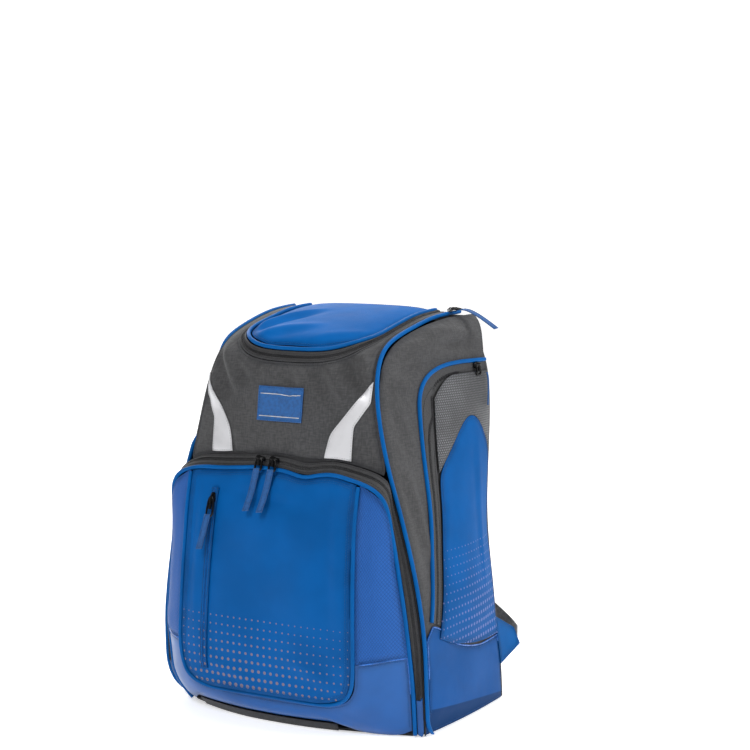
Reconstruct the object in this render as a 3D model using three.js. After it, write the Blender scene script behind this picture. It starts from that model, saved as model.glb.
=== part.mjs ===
import * as THREE from 'three';

// Driving sizes in millimetres. X runs to the right seen from the front, Y to the back, Z up.
const bagHeight = 490; // floor to the seam at the rear of the top
const halfWidth = 190; // middle to the front seam where the bag is widest
const frontDepth = 108; // middle to the front seams
const backDepth = 104; // middle to the rear edge of the side panels
const pocketDepth = 57; // front seams to the fullest place of the front pocket
const crownDepth = 24; // how far the front panel swells before its seams
const sideCrown = 4; // how far a side panel swells beyond its edges
const baseRoll = 4; // how far the foot of a side panel rolls out over its crease
const creaseHeight = 17; // floor to that crease
const leftRound = 34; // how far the soft lower left corner is drawn in
const roundHeight = 48; // floor to the top of that rounding
const slotWidth = 24; // front to back across the open slot at the rear of the top

const clothWall = 2;
const tapeWall = 1.5;
const lidWall = 3;
const stripWall = 0.8;
const labelWall = 1;
const backPad = 12;
const baseWall = 3;
const gap = 0.4; // clearance between neighbouring pieces
const floorGap = 0.5; // hems of the side walls above the floor
const pipingRadius = 2.2;
const jointInset = pipingRadius + gap;
const onPanel = tapeWall + 2 * gap; // face of a tape or wrap above the panel that carries it

const lidHalf = 94; // middle of the lid to its side edge
const lidShift = 5; // the lid sits this far to the right
const lidNose = 72; // length of the lid's rounded front end
const lidBandFront = 14; // width of the dark zip band before the lid
const lidBandSide = 7; // and beside it
const lidLift = 3.4; // lid face above the panel around it
const bandTop = 327; // top of the pocket's zip band at the middle
const bandCorner = 42; // height of that band's rounded corners
const rimTop = 310; // top of the pocket piping at the middle
const rimCorner = 48; // height of its rounded corners
const faceHalf = 121; // middle to the piping beside the pocket face
const faceFoot = 37; // floor to the piping under the pocket face
const faceSwell = 6; // how far the pocket face swells before its piping
const bandFoot = 46; // floor to the lower ends of the dark zip band
const baseStripHeight = 12;
const baseStripLeft = -140;
const baseStripRight = 86;

const archTop = 432; // floor to the piping over the side pocket
const archFoot = 0.315; // lower end of that piping, as a share of archTop
const archTapeLeg = 25; // width of the side zip tape before the pocket
const archTapeTop = 13; // and over it
const sideSwell = 7; // how far the side pocket swells

const strapWidth = 64;
const strapWall = 9;
const webbingWidth = 25;
const webbingWall = 1.6;
const strapTop = 452; // floor to the upper ends of the straps
const strapSpread = 58; // middle of the back to the middle of a strap at its top

// Front seam from the floor up the front and over the top to the rear.
// up is a share of bagHeight, out of halfWidth, forward of frontDepth, crown of crownDepth.
const seamRows = [
  { up: 0.0, out: 1.01, forward: 0.91, crown: 0.5 },
  { up: 0.12, out: 1.003, forward: 0.935, crown: 0.5 },
  { up: 0.204, out: 1.0, forward: 0.954, crown: 0.5 },
  { up: 0.286, out: 0.979, forward: 0.963, crown: 0.5 },
  { up: 0.367, out: 0.945, forward: 0.975, crown: 0.6 },
  { up: 0.449, out: 0.903, forward: 1.0, crown: 0.7 },
  { up: 0.531, out: 0.853, forward: 1.028, crown: 0.85 },
  { up: 0.612, out: 0.784, forward: 1.023, crown: 1.0 },
  { up: 0.694, out: 0.721, forward: 1.009, crown: 0.95 },
  { up: 0.776, out: 0.674, forward: 0.991, crown: 0.72 },
  { up: 0.857, out: 0.639, forward: 0.926, crown: 0.74 },
  { up: 0.888, out: 0.629, forward: 0.861, crown: 0.83 },
  { up: 0.918, out: 0.618, forward: 0.759, crown: 0.8 },
  { up: 0.939, out: 0.613, forward: 0.611, crown: 0.58 },
  { up: 0.959, out: 0.618, forward: 0.352, crown: 0.38 },
  { up: 0.976, out: 0.629, forward: 0.046, crown: 0.27 },
  { up: 0.992, out: 0.637, forward: -0.315, crown: 0.2 },
  { up: 0.998, out: 0.647, forward: -0.63, crown: 0.16 },
  { up: 1.0, out: 0.658, forward: -0.88, crown: 0.12 },
];

// Rear edge of a side panel. up is a share of bagHeight, out of halfWidth.
const rearRows = [
  { up: 0.0, out: 0.947 },
  { up: 0.076, out: 0.942 },
  { up: 0.206, out: 0.895 },
  { up: 0.322, out: 0.868 },
  { up: 0.465, out: 0.821 },
  { up: 0.569, out: 0.826 },
  { up: 0.671, out: 0.837 },
  { up: 0.784, out: 0.842 },
  { up: 0.857, out: 0.821 },
  { up: 0.912, out: 0.811 },
  { up: 0.959, out: 0.795 },
  { up: 0.98, out: 0.774 },
  { up: 1.0, out: 0.72 },
];

// Legs of the pocket piping. up is a share of bagHeight, out of halfWidth, proud of pocketDepth.
const rimRows = [
  { up: 0.0, out: 0.932, proud: 0.1 },
  { up: 0.122, out: 0.93, proud: 0.15 },
  { up: 0.204, out: 0.926, proud: 0.23 },
  { up: 0.286, out: 0.908, proud: 0.27 },
  { up: 0.367, out: 0.877, proud: 0.27 },
  { up: 0.449, out: 0.848, proud: 0.27 },
  { up: 0.535, out: 0.822, proud: 0.32 },
];

// Legs of the piping beside the pocket face. up is a share of bagHeight, out of faceHalf.
// proud is a share of pocketDepth.
const faceRows = [
  { up: 0.078, out: 0.76, proud: 1.0 },
  { up: 0.09, out: 0.93, proud: 1.0 },
  { up: 0.122, out: 1.01, proud: 1.0 },
  { up: 0.184, out: 1.035, proud: 1.02 },
  { up: 0.286, out: 1.025, proud: 0.97 },
  { up: 0.367, out: 1.015, proud: 0.91 },
  { up: 0.449, out: 1.005, proud: 0.8 },
  { up: 0.531, out: 1.0, proud: 0.67 },
  { up: 0.62, out: 1.0, proud: 0.52 },
];

// Front edge of the base on the floor. out is a share of halfWidth, forward of frontDepth.
const baseRows = [
  { out: 0.0, forward: 1.28 },
  { out: 0.21, forward: 1.265 },
  { out: 0.45, forward: 1.2 },
  { out: 0.7, forward: 1.09 },
  { out: 0.93, forward: 0.97 },
];

// Front leg of the side pocket's piping. up is a share of archTop, edge of backDepth.
const archRows = [
  { up: 0.25, edge: -0.96 },
  { up: 0.322, edge: -0.82 },
  { up: 0.465, edge: -0.63 },
  { up: 0.574, edge: -0.51 },
  { up: 0.69, edge: -0.44 },
  { up: 0.82, edge: -0.4 },
  { up: 0.905, edge: -0.37 },
];

// Rounded top of that piping from its front leg to the rear, with the same shares.
const archCrownRows = [
  { along: 0.0, edge: -0.37, up: 0.905 },
  { along: 0.2, edge: -0.29, up: 0.945 },
  { along: 0.4, edge: -0.11, up: 0.977 },
  { along: 0.6, edge: 0.16, up: 0.995 },
  { along: 0.8, edge: 0.5, up: 1.0 },
  { along: 1.0, edge: 0.97, up: 0.998 },
];

// Seam between the side pocket's mesh and its tongue, and the foot of the tongue.
// across runs from the zip tape to the rear, tip and foot are shares of archTop.
const tongueRows = [
  { across: 0.0, tip: 0.7, foot: 0.262 },
  { across: 0.14, tip: 0.745, foot: 0.24 },
  { across: 0.32, tip: 0.8, foot: 0.222 },
  { across: 0.47, tip: 0.845, foot: 0.21 },
  { across: 0.58, tip: 0.853, foot: 0.203 },
  { across: 0.7, tip: 0.84, foot: 0.198 },
  { across: 0.84, tip: 0.795, foot: 0.195 },
  { across: 1.0, tip: 0.735, foot: 0.193 },
];

// Top of the glossy wrap on the side. across runs from the front seam to the rear.
// up is a share of archTop.
const wrapRows = [
  { across: 0.0, up: 0.27 },
  { across: 0.08, up: 0.3 },
  { across: 0.2, up: 0.283 },
  { across: 0.27, up: 0.248 },
  { across: 0.45, up: 0.213 },
  { across: 0.75, up: 0.188 },
  { across: 1.0, up: 0.186 },
];

// Middle line of a shoulder strap down the back. down is a share of strapTop, behind and out in
// millimetres from the back pad and from the strap's top.
const strapRows = [
  { down: 0.0, behind: 0, out: 0 },
  { down: 0.05, behind: 2, out: 1 },
  { down: 0.11, behind: 15, out: 3 },
  { down: 0.18, behind: 28, out: 7 },
  { down: 0.28, behind: 37, out: 15 },
  { down: 0.4, behind: 40, out: 24 },
  { down: 0.53, behind: 39, out: 33 },
  { down: 0.63, behind: 35, out: 38 },
];

function finish(color, roughness, metalness = 0) {
  return new THREE.MeshStandardMaterial({ color, roughness, metalness });
}

const materials = {
  blueLeather: finish('#0a57a8', 0.5),
  blueGloss: finish('#2f61b8', 0.3),
  blueTexture: finish('#4562bb', 0.7),
  bluePiping: finish('#1c64c4', 0.45),
  greyCloth: finish('#55565a', 0.9),
  darkTape: finish('#333437', 0.85),
  darkMesh: finish('#46484c', 0.6),
  blackCloth: finish('#1c1d20', 0.9),
  blackMetal: finish('#101114', 0.25, 0.6),
  silverStrip: finish('#c9cbce', 0.35, 0.2),
  greyWebbing: finish('#6b6d70', 0.8),
};

// Smooth function through one column of a table, without overshoot between its rows.
function smoothColumn(rows, key, column) {
  const xs = rows.map((row) => row[key]);
  const ys = rows.map((row) => row[column]);
  const rises = xs.slice(1).map((x, i) => (ys[i + 1] - ys[i]) / (x - xs[i]));
  const slopes = xs.map((x, i) => {
    const before = rises[Math.max(0, i - 1)];
    const after = rises[Math.min(rises.length - 1, i)];
    return before * after > 0 ? (2 * before * after) / (before + after) : 0;
  });
  return (x) => {
    const at = Math.min(Math.max(x, xs[0]), xs[xs.length - 1]);
    const i = Math.min(Math.max(xs.findIndex((value) => value >= at) - 1, 0), rises.length - 1);
    const span = xs[i + 1] - xs[i];
    const t = (at - xs[i]) / span;
    const blend = t * t * (3 - 2 * t);
    const lean = t * (1 - t) * span * (slopes[i] * (1 - t) - slopes[i + 1] * t);
    return ys[i] + (ys[i + 1] - ys[i]) * blend + lean;
  };
}

function mix(from, to, t) {
  return from + (to - from) * t;
}

function clampUnit(t) {
  return Math.min(1, Math.max(0, t));
}

function smoothStep(from, to, value) {
  const t = clampUnit((value - from) / (to - from));
  return t * t * (3 - 2 * t);
}

const outShare = smoothColumn(seamRows, 'up', 'out');
const forwardShare = smoothColumn(seamRows, 'up', 'forward');
const crownShare = smoothColumn(seamRows, 'up', 'crown');
const rearShare = smoothColumn(rearRows, 'up', 'out');

function seamOut(z) {
  return halfWidth * outShare(z / bagHeight);
}

function seamY(z) {
  return -frontDepth * forwardShare(z / bagHeight);
}

// Length along the front seam, sampled closer together where it turns over the top.
const seamSamples = 500;
const seamHeights = [];
const seamLengths = [];
for (let i = 0; i <= seamSamples; i += 1) {
  const z = bagHeight * Math.sin((Math.PI / 2) * (i / seamSamples));
  const before = seamHeights[i - 1];
  const step = i === 0 ? 0 : Math.hypot(seamY(z) - seamY(before), z - before);
  seamHeights.push(z);
  seamLengths.push(i === 0 ? 0 : seamLengths[i - 1] + step);
}
const seamLength = seamLengths[seamSamples];

function readAcross(xs, ys, x) {
  let low = 0;
  let high = xs.length - 1;
  while (high - low > 1) {
    const middle = (low + high) >> 1;
    if (xs[middle] <= x) low = middle;
    else high = middle;
  }
  const t = clampUnit((x - xs[low]) / (xs[high] - xs[low]));
  return mix(ys[low], ys[high], t);
}

function seamHeightAt(along) {
  return readAcross(seamLengths, seamHeights, along);
}

function alongAtHeight(z) {
  return readAcross(seamHeights, seamLengths, z);
}

// Front and top skin: the seam's profile carried across the bag and swelled between the seams.
const crownPower = 2.2;
const slopeStep = 2;
function skinPoint(x, along, lift = 0) {
  const z = seamHeightAt(along);
  const lower = seamHeightAt(Math.max(0, along - slopeStep));
  const upper = seamHeightAt(Math.min(seamLength, along + slopeStep));
  const runY = seamY(upper) - seamY(lower);
  const runZ = upper - lower;
  const run = Math.hypot(runY, runZ);
  const across = Math.min(1, Math.abs(x) / seamOut(z));
  const rise = crownDepth * crownShare(z / bagHeight) * (1 - across ** crownPower) + lift;
  return new THREE.Vector3(x, seamY(z) - (rise * runZ) / run, z + (rise * runY) / run);
}

// Place along the seam at which the skin over x reaches a height below the lid.
function alongForHeight(x, z) {
  let low = 0;
  let high = alongAtHeight(bagHeight * 0.95);
  for (let i = 0; i < 30; i += 1) {
    const middle = (low + high) / 2;
    if (skinPoint(x, middle).z < z) low = middle;
    else high = middle;
  }
  return (low + high) / 2;
}

function frontPoint(x, z, lift = 0) {
  return skinPoint(x, alongForHeight(x, z), lift);
}

// Outer face of a side panel.
function sideAcross(y, z) {
  const front = seamY(z);
  return clampUnit((y - front) / (backDepth - front));
}

function sidePoint(y, z, lift = 0) {
  const t = sideAcross(y, z);
  const rear = halfWidth * rearShare(z / bagHeight);
  const swell = sideCrown * 4 * t * (1 - t);
  return new THREE.Vector3(mix(seamOut(z), rear, t) + swell + lift, y, z);
}

// The soft lower left corner is drawn in towards the middle.
function settle(point) {
  if (point.x >= 0 || point.z >= roundHeight) return point;
  const low = (1 - point.z / roundHeight) ** 2;
  const near = smoothStep(0.2 * backDepth, -0.7 * frontDepth, point.y);
  point.x += leftRound * (Math.abs(point.x) / halfWidth) ** 1.5 * low * near;
  return point;
}

// Heights of the rows of faces that follow that rounding.
const footHeights = [floorGap, roundHeight * 0.22, roundHeight * 0.5, roundHeight];

// Value at a share of the way along a list.
function alongList(list, t) {
  const at = t * (list.length - 1);
  const i = Math.min(Math.floor(at), list.length - 2);
  return mix(list[i], list[i + 1], at - i);
}

const bagMiddle = new THREE.Vector3(0, -20, bagHeight / 2);

// Point of a surface moved along its outward normal.
const probe = 1e-3;
function offsetPoint(surface, a, b, lift, heart) {
  const point = surface(a, b);
  if (lift === 0) return point;
  const a0 = Math.max(0, a - probe);
  const a1 = Math.min(1, a + probe);
  const b0 = Math.max(0, b - probe);
  const b1 = Math.min(1, b + probe);
  const alongA = surface(a1, b).sub(surface(a0, b));
  const alongB = surface(a, b1).sub(surface(a, b0));
  const normal = alongA.cross(alongB).normalize();
  if (normal.dot(point.clone().sub(heart)) < 0) normal.negate();
  return point.addScaledVector(normal, lift);
}

// Place at a set distance beside a curve, square to it and on the side of another point.
function besideCurve(curve, t, toward, distance) {
  const point = curve(t);
  const run = curve(Math.min(1, t + probe)).sub(curve(Math.max(0, t - probe))).normalize();
  const away = toward.clone().sub(point);
  away.addScaledVector(run, -away.dot(run)).normalize();
  return point.addScaledVector(away, distance);
}

function bodyFrom(points, faces) {
  let volume = 0;
  for (let i = 0; i < faces.length; i += 3) {
    const [p, q, r] = [points[faces[i]], points[faces[i + 1]], points[faces[i + 2]]];
    volume += p.dot(q.clone().cross(r));
  }
  const turned = volume < 0 ? [...faces].reverse() : faces;
  const geometry = new THREE.BufferGeometry();
  const numbers = points.flatMap((point) => point.toArray());
  geometry.setAttribute('position', new THREE.Float32BufferAttribute(numbers, 3));
  geometry.setIndex(turned);
  geometry.computeVertexNormals();
  return geometry;
}

// Closed body between an outer and an inner face, each a grid over a and b from 0 to 1.
function closedGrid(columns, rows, outer, inner) {
  const points = [];
  const faces = [];
  const width = columns + 1;
  const layer = width * (rows + 1);
  for (const face of [outer, inner]) {
    for (let j = 0; j <= rows; j += 1) {
      for (let i = 0; i <= columns; i += 1) points.push(settle(face(i / columns, j / rows)));
    }
  }
  const quad = (p, q, r, s) => faces.push(p, q, r, p, r, s);
  for (let j = 0; j < rows; j += 1) {
    for (let i = 0; i < columns; i += 1) {
      const at = j * width + i;
      quad(at, at + 1, at + width + 1, at + width);
      quad(layer + at, layer + at + width, layer + at + width + 1, layer + at + 1);
    }
    const left = j * width;
    const right = left + columns;
    quad(left, left + width, layer + left + width, layer + left);
    quad(right + width, right, layer + right, layer + right + width);
  }
  const last = rows * width;
  for (let i = 0; i < columns; i += 1) {
    quad(i + 1, i, layer + i, layer + i + 1);
    quad(last + i, last + i + 1, layer + last + i + 1, layer + last + i);
  }
  return bodyFrom(points, faces);
}

// Closed panel: an outer face, an inner face one wall behind it, and its four edges.
function sheet(columns, rows, surface, wall, lift = 0, heart = bagMiddle) {
  const outer = (a, b) => offsetPoint(surface, a, b, lift, heart);
  const inner = (a, b) => offsetPoint(surface, a, b, lift - wall, heart);
  return closedGrid(columns, rows, outer, inner);
}

// Round cord or piping along a curve.
function tube(points, radius, steps, sides = 5) {
  const section = new THREE.Shape();
  for (let i = 0; i < sides; i += 1) {
    const turn = (2 * Math.PI * i) / sides;
    const x = radius * Math.cos(turn);
    const y = radius * Math.sin(turn);
    if (i === 0) section.moveTo(x, y);
    else section.lineTo(x, y);
  }
  section.closePath();
  const path = new THREE.CatmullRomCurve3(points.map(settle), false, 'centripetal');
  return new THREE.ExtrudeGeometry(section, { steps, extrudePath: path, bevelEnabled: false });
}

function sampled(count, pointAt) {
  return Array.from({ length: count + 1 }, (unused, i) => pointAt(i / count));
}

const bag = new THREE.Group();

function add(name, geometry, material) {
  const mesh = new THREE.Mesh(geometry, material);
  mesh.name = name;
  bag.add(mesh);
  return mesh;
}

const sides = { right: 1, left: -1 };

// The same piece on the right and on the left.
function addPair(name, make, material) {
  for (const [side, sign] of Object.entries(sides)) {
    add(`${name}_${side}`, make((point) => point.setX(sign * point.x)), material);
  }
}

// Lid: a rounded nose at the front and straight sides to the slot at the rear.
const nosePower = 3;
const slotFront = backDepth - slotWidth;
function alongWhereY(y) {
  let low = alongAtHeight(bagHeight * 0.9);
  let high = seamLength;
  for (let i = 0; i < 40; i += 1) {
    const middle = (low + high) / 2;
    if (skinPoint(0, middle).y < y) low = middle;
    else high = middle;
  }
  return (low + high) / 2;
}
const lidFront = alongAtHeight(bagHeight * 0.9);
const lidRear = alongWhereY(slotFront - gap);
const noseEnd = lidFront + lidNose;
const straightShare = 0.3;
const lidColumns = 34;
const lidLegColumns = 4;

// Share of the way round the lid for an even share of the columns: few along its straight sides.
function lidShare(t) {
  const column = lidColumns * Math.min(t, 1 - t);
  const half = lidColumns / 2;
  const turned = clampUnit((column - lidLegColumns) / (half - lidLegColumns));
  const straight = Math.min(1, column / lidLegColumns);
  const share = mix(straightShare * straight, 0.5, turned);
  return t < 0.5 ? share : 1 - share;
}

// Outline around the lid, from its right rear corner round the nose to its left rear corner.
function lidOutline(t, growSide, growFront) {
  const half = lidHalf + growSide;
  if (t < straightShare) {
    return { x: half, along: mix(lidRear, noseEnd, t / straightShare) };
  }
  if (t > 1 - straightShare) {
    return { x: -half, along: mix(noseEnd, lidRear, (t - 1 + straightShare) / straightShare) };
  }
  const turn = (Math.PI * (t - straightShare)) / (1 - 2 * straightShare);
  const across = Math.sign(Math.cos(turn)) * Math.abs(Math.cos(turn)) ** (2 / nosePower);
  const ahead = Math.abs(Math.sin(turn)) ** (2 / nosePower);
  return { x: half * across, along: noseEnd - (lidNose + growFront) * ahead };
}

function lidRing(t, growSide, growFront, lift = 0) {
  const at = lidOutline(t, growSide, growFront);
  return skinPoint(at.x + lidShift, at.along, lift);
}

function lidHalfAt(along, inset) {
  const ahead = clampUnit((noseEnd - along) / (lidNose - inset));
  return (lidHalf - inset) * (1 - ahead ** nosePower) ** (1 / nosePower);
}

const lidEdge = jointInset;
function lidSurface(a, b) {
  const start = noseEnd - (lidNose - lidEdge) * 0.98;
  const along = mix(start, lidRear, b ** 1.4);
  const half = lidHalfAt(along, lidEdge);
  const swell = lidLift * (1 - (1 - 4 * a * (1 - a)) ** 3) * (1 - (1 - b) ** 6);
  return skinPoint(mix(-half, half, a) + lidShift, along, swell);
}
add('lid_panel', sheet(10, 8, lidSurface, lidWall), materials.blueLeather);

function lidBandSurface(a, b) {
  const side = mix(jointInset + gap, lidBandSide, b);
  const front = mix(jointInset + gap, lidBandFront, b);
  return lidRing(lidShare(a), side, front, 1.5 * (1 - b));
}
add('lid_zip_band', sheet(lidColumns, 2, lidBandSurface, tapeWall), materials.darkTape);
const lidPipingPoints = sampled(60, (t) => lidRing(t, 0, 0, pipingRadius * 0.7));
add('lid_piping', tube(lidPipingPoints, pipingRadius, lidColumns), materials.bluePiping);

// Top line of the pocket's zip band across the front panel.
const bandTopPower = 3;
const bandLegTop = bandTop - bandCorner;
const bandLegInset = jointInset + clothWall;
function bandLine(x, drop = 0) {
  const half = seamOut(bandLegTop) - jointInset;
  const rest = clampUnit(1 - (Math.abs(x) / half) ** bandTopPower);
  return bandLegTop - drop + bandCorner * rest ** (1 / bandTopPower);
}

// Front panel: from the seams and the zip band up to the dark band around the lid.
const cornerShare = 0.43;
// The band's top line meets the seam a little way round its own corner.
const bandFootTurn = 0.36;
const bandHalf = seamOut(bandLegTop) - jointInset;
const bandFootX = bandHalf * Math.cos(bandFootTurn) ** (2 / bandTopPower);
const alongBandLeg = alongForHeight(bandFootX, bandLine(bandFootX) + gap);
function frontPanelOuter(t) {
  const sign = t < 0.5 ? 1 : -1;
  const u = t < 0.5 ? t : 1 - t;
  if (u < cornerShare) {
    const below = clampUnit((u - straightShare) / (cornerShare - straightShare));
    const beside = mix(lidRear, noseEnd, Math.min(1, u / straightShare));
    const along = mix(beside, alongBandLeg, below);
    return { x: sign * (seamOut(seamHeightAt(along)) - jointInset), along };
  }
  const turn = mix(bandFootTurn, Math.PI / 2, (u - cornerShare) / (0.5 - cornerShare));
  const x = bandHalf * Math.cos(turn) ** (2 / bandTopPower);
  return { x: sign * x, along: alongForHeight(x, bandLine(x) + gap) };
}
function frontPanelSurface(a, b) {
  const share = lidShare(a);
  const outer = frontPanelOuter(share);
  const inner = lidOutline(share, lidBandSide + 2 * gap, lidBandFront + 2 * gap);
  return skinPoint(mix(outer.x, inner.x + lidShift, b), mix(outer.along, inner.along, b));
}
add('front_panel', sheet(lidColumns, 4, frontPanelSurface, clothWall), materials.greyCloth);

// Wall behind the front pocket.
function frontWallSurface(a, b) {
  const reach = mix(-1, 1, a);
  const inset = jointInset + 3 * gap;
  const half = seamOut(bandLegTop) - inset;
  const z = mix(baseWall + gap, bandLine(reach * half) - gap, b);
  const x = reach * (seamOut(z) - inset);
  return skinPoint(x, alongForHeight(x, z));
}
add('front_wall', sheet(10, 7, frontWallSurface, clothWall), materials.blackCloth);

// Piping around the pocket's rim: up the right leg, over the top and down the left leg.
const rimOut = smoothColumn(rimRows, 'up', 'out');
const rimProud = smoothColumn(rimRows, 'up', 'proud');
const rimPower = 3.5;
const rimLegTop = rimTop - rimCorner;
const rimFoot = floorGap + pipingRadius;
const legShare = 0.36;
const rimTopProud = 0.56;
function rimLeg(z) {
  const forward = frontDepth * forwardShare(z / bagHeight);
  const proud = pocketDepth * rimProud(z / bagHeight);
  return new THREE.Vector3(halfWidth * rimOut(z / bagHeight), -forward - proud, z);
}
function rimPoint(t) {
  const sign = t < 0.5 ? 1 : -1;
  const u = t < 0.5 ? t : 1 - t;
  if (u < legShare) {
    const leg = rimLeg(mix(rimFoot, rimLegTop, u / legShare));
    return leg.setX(sign * leg.x);
  }
  const turn = (Math.PI / 2) * ((u - legShare) / (0.5 - legShare));
  const corner = rimLeg(rimLegTop);
  const x = corner.x * Math.cos(turn) ** (2 / rimPower);
  const rise = Math.sin(turn) ** (2 / rimPower);
  const middleY = -frontDepth - pocketDepth * rimTopProud;
  return new THREE.Vector3(sign * x, mix(corner.y, middleY, rise), rimLegTop + rimCorner * rise);
}
add('pocket_piping', tube(sampled(90, rimPoint), pipingRadius, 50), materials.bluePiping);

// Inner end of the zip band where it meets the front panel and the seams.
function bandRoot(t) {
  const sign = t < 0.5 ? 1 : -1;
  const u = t < 0.5 ? t : 1 - t;
  const lift = tapeWall + gap;
  if (u < legShare) {
    const z = mix(rimFoot, bandLegTop, u / legShare);
    const x = seamOut(z) - bandLegInset;
    return skinPoint(sign * x, alongForHeight(x, z), lift);
  }
  const turn = (Math.PI / 2) * ((u - legShare) / (0.5 - legShare));
  const half = seamOut(bandLegTop) - bandLegInset;
  const x = half * Math.cos(turn) ** (2 / bandTopPower);
  return frontPoint(sign * x, bandLine(x) - lift, lift);
}
const bandSwell = 2.5;
function bandSurface(t, b) {
  const root = bandRoot(t);
  const rim = besideCurve(rimPoint, t, root, jointInset + 2 * gap);
  const point = root.lerp(rim, b);
  const puff = bandSwell * 4 * b * (1 - b);
  const out = point.clone().sub(bagMiddle).normalize();
  return point.addScaledVector(out, puff);
}
const bandEndShare = (legShare * (bandFoot - rimFoot)) / (rimLegTop - rimFoot);
function zipBandSurface(a, b) {
  return bandSurface(mix(bandEndShare, 1 - bandEndShare, a), b);
}
add('pocket_zip_band', sheet(42, 2, zipBandSurface, tapeWall), materials.darkTape);
const cornerGapShare = (legShare * 3 * gap) / (rimLegTop - rimFoot);
function cornerWrapSurface(a, b) {
  return bandSurface(mix(0, bandEndShare - cornerGapShare, a), b);
}
for (const [side, sign] of Object.entries(sides)) {
  const surface = (a, b) => {
    const point = cornerWrapSurface(a, b);
    return point.setX(sign * point.x);
  };
  add(`corner_wrap_${side}`, sheet(4, 2, surface, tapeWall), materials.blueGloss);
}

// Piping beside and under the pocket face.
const faceOut = smoothColumn(faceRows, 'up', 'out');
const faceProud = smoothColumn(faceRows, 'up', 'proud');
function faceEdge(z) {
  const forward = frontDepth * forwardShare(z / bagHeight);
  const proud = pocketDepth * faceProud(z / bagHeight);
  return new THREE.Vector3(faceHalf * faceOut(z / bagHeight), -forward - proud, z);
}
// Height of the rim piping over a place across the pocket face.
function rimLine(x) {
  const corner = rimLeg(rimLegTop);
  const rest = clampUnit(1 - (Math.abs(x) / corner.x) ** rimPower);
  return rimLegTop + rimCorner * rest ** (1 / rimPower);
}
const faceLegTop = rimLine(faceHalf) - 2 * jointInset;
const faceLegShare = 0.62;
function facePiping(t) {
  const sign = t < 0.5 ? 1 : -1;
  const u = t < 0.5 ? t / 0.5 : (1 - t) / 0.5;
  if (u < faceLegShare) {
    const z = mix(faceLegTop, faceFoot, (u / faceLegShare) ** 0.75);
    const edge = faceEdge(z);
    return edge.setX(sign * edge.x);
  }
  const corner = faceEdge(faceFoot);
  return corner.setX(sign * corner.x * (1 - (u - faceLegShare) / (1 - faceLegShare)));
}
add('face_piping', tube(sampled(72, facePiping), pipingRadius, 38), materials.bluePiping);

function facePoint(x, z, lift = 0) {
  const edge = faceEdge(z);
  const across = clampUnit(Math.abs(x) / edge.x);
  const top = rimLine(x);
  const up = clampUnit((z - faceFoot) / (top - faceFoot));
  const swell = faceSwell * (1 - across ** 4) * (1 - up ** 6);
  const rim = -frontDepth - pocketDepth * rimTopProud;
  const y = mix(edge.y, Math.min(edge.y, rim), up ** 8);
  return new THREE.Vector3(x, y - swell - lift, z);
}
function faceSurface(a, b) {
  const reach = mix(-1, 1, a);
  const low = faceFoot + jointInset + gap;
  const roughX = reach * faceHalf;
  const z = mix(low, rimLine(roughX) - jointInset, b ** 1.5);
  const lean = faceEdge(z + 1).x - faceEdge(Math.max(faceFoot, z - 1)).x;
  return facePoint(reach * (faceEdge(z).x - jointInset * Math.hypot(1, lean / 2) - gap), z);
}
add('pocket_face', sheet(10, 9, faceSurface, clothWall), materials.blueLeather);

// Line along the front of the base, from the floor or from the top of the dark strip.
const baseForward = smoothColumn(baseRows, 'out', 'forward');
function baseEdge(x, z) {
  const lean = 0.35 * z;
  return new THREE.Vector3(x, -frontDepth * baseForward(Math.abs(x) / halfWidth) - lean, z);
}
const wrapDrop = 30;
function wrapHem(x) {
  const open = smoothStep(baseStripRight + wrapDrop, baseStripRight, x);
  const shut = smoothStep(baseStripLeft - wrapDrop, baseStripLeft, x);
  return mix(floorGap, baseStripHeight, open * shut);
}

// Gusset between the pocket's rim and its face: sides first, then under the face.
const gussetLeg = 0.62;
// Share of the way round the rim at which it has come in to a given half width.
function rimShareAt(x) {
  const turn = Math.acos((x / rimLeg(rimLegTop).x) ** (rimPower / 2));
  return mix(legShare, 0.5, turn / (Math.PI / 2));
}
const gussetTopShare = rimShareAt(faceHalf + 4 * jointInset);
function gussetRimShare(u) {
  return mix(gussetTopShare, 0, (u / gussetLeg) ** 0.85);
}
function gussetOuter(u) {
  if (u < gussetLeg) return rimPoint(gussetRimShare(u));
  const foot = rimPoint(0);
  const x = (foot.x - 2 * jointInset) * (1 - (u - gussetLeg) / (1 - gussetLeg));
  return baseEdge(x, 0);
}
function gussetInner(u) {
  const start = (1 - jointInset / faceHalf) * 0.02;
  return facePiping(mix(start, 0.5, u ** 0.95));
}
const gussetSwell = 5;
function gussetSurface(t, b) {
  const sign = t < 0.5 ? 1 : -1;
  const u = t < 0.5 ? t / 0.5 : (1 - t) / 0.5;
  const outer = gussetOuter(u);
  if (u >= gussetLeg) {
    const hem = wrapHem(sign * outer.x);
    outer.copy(baseEdge(outer.x, Math.max(hem, floorGap)));
  }
  const rest = besideCurve(gussetInner, u, outer, jointInset + gap);
  const onLeg = u < gussetLeg;
  const beside = jointInset + 2 * gap;
  const start = onLeg ? besideCurve(rimPoint, gussetRimShare(u), rest, beside) : outer;
  const point = start.lerp(rest, b);
  const puff = gussetSwell * 4 * b * (1 - b) * smoothStep(0, 0.2, u);
  const out = new THREE.Vector3(point.x * 0.6, -halfWidth, -halfWidth * smoothStep(gussetLeg, 1, u));
  point.addScaledVector(out.normalize(), puff);
  return point.setX(sign * point.x);
}
const wedgeEnd = 0.205;
const gussetGap = gap / (2 * (bagHeight + halfWidth));
for (const [side, sign] of Object.entries(sides)) {
  const surface = (a, b) => {
    const point = gussetSurface(mix(0, wedgeEnd, a), b);
    return point.setX(sign * point.x);
  };
  add(`pocket_wedge_${side}`, sheet(10, 3, surface, clothWall), materials.blueTexture);
}
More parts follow.
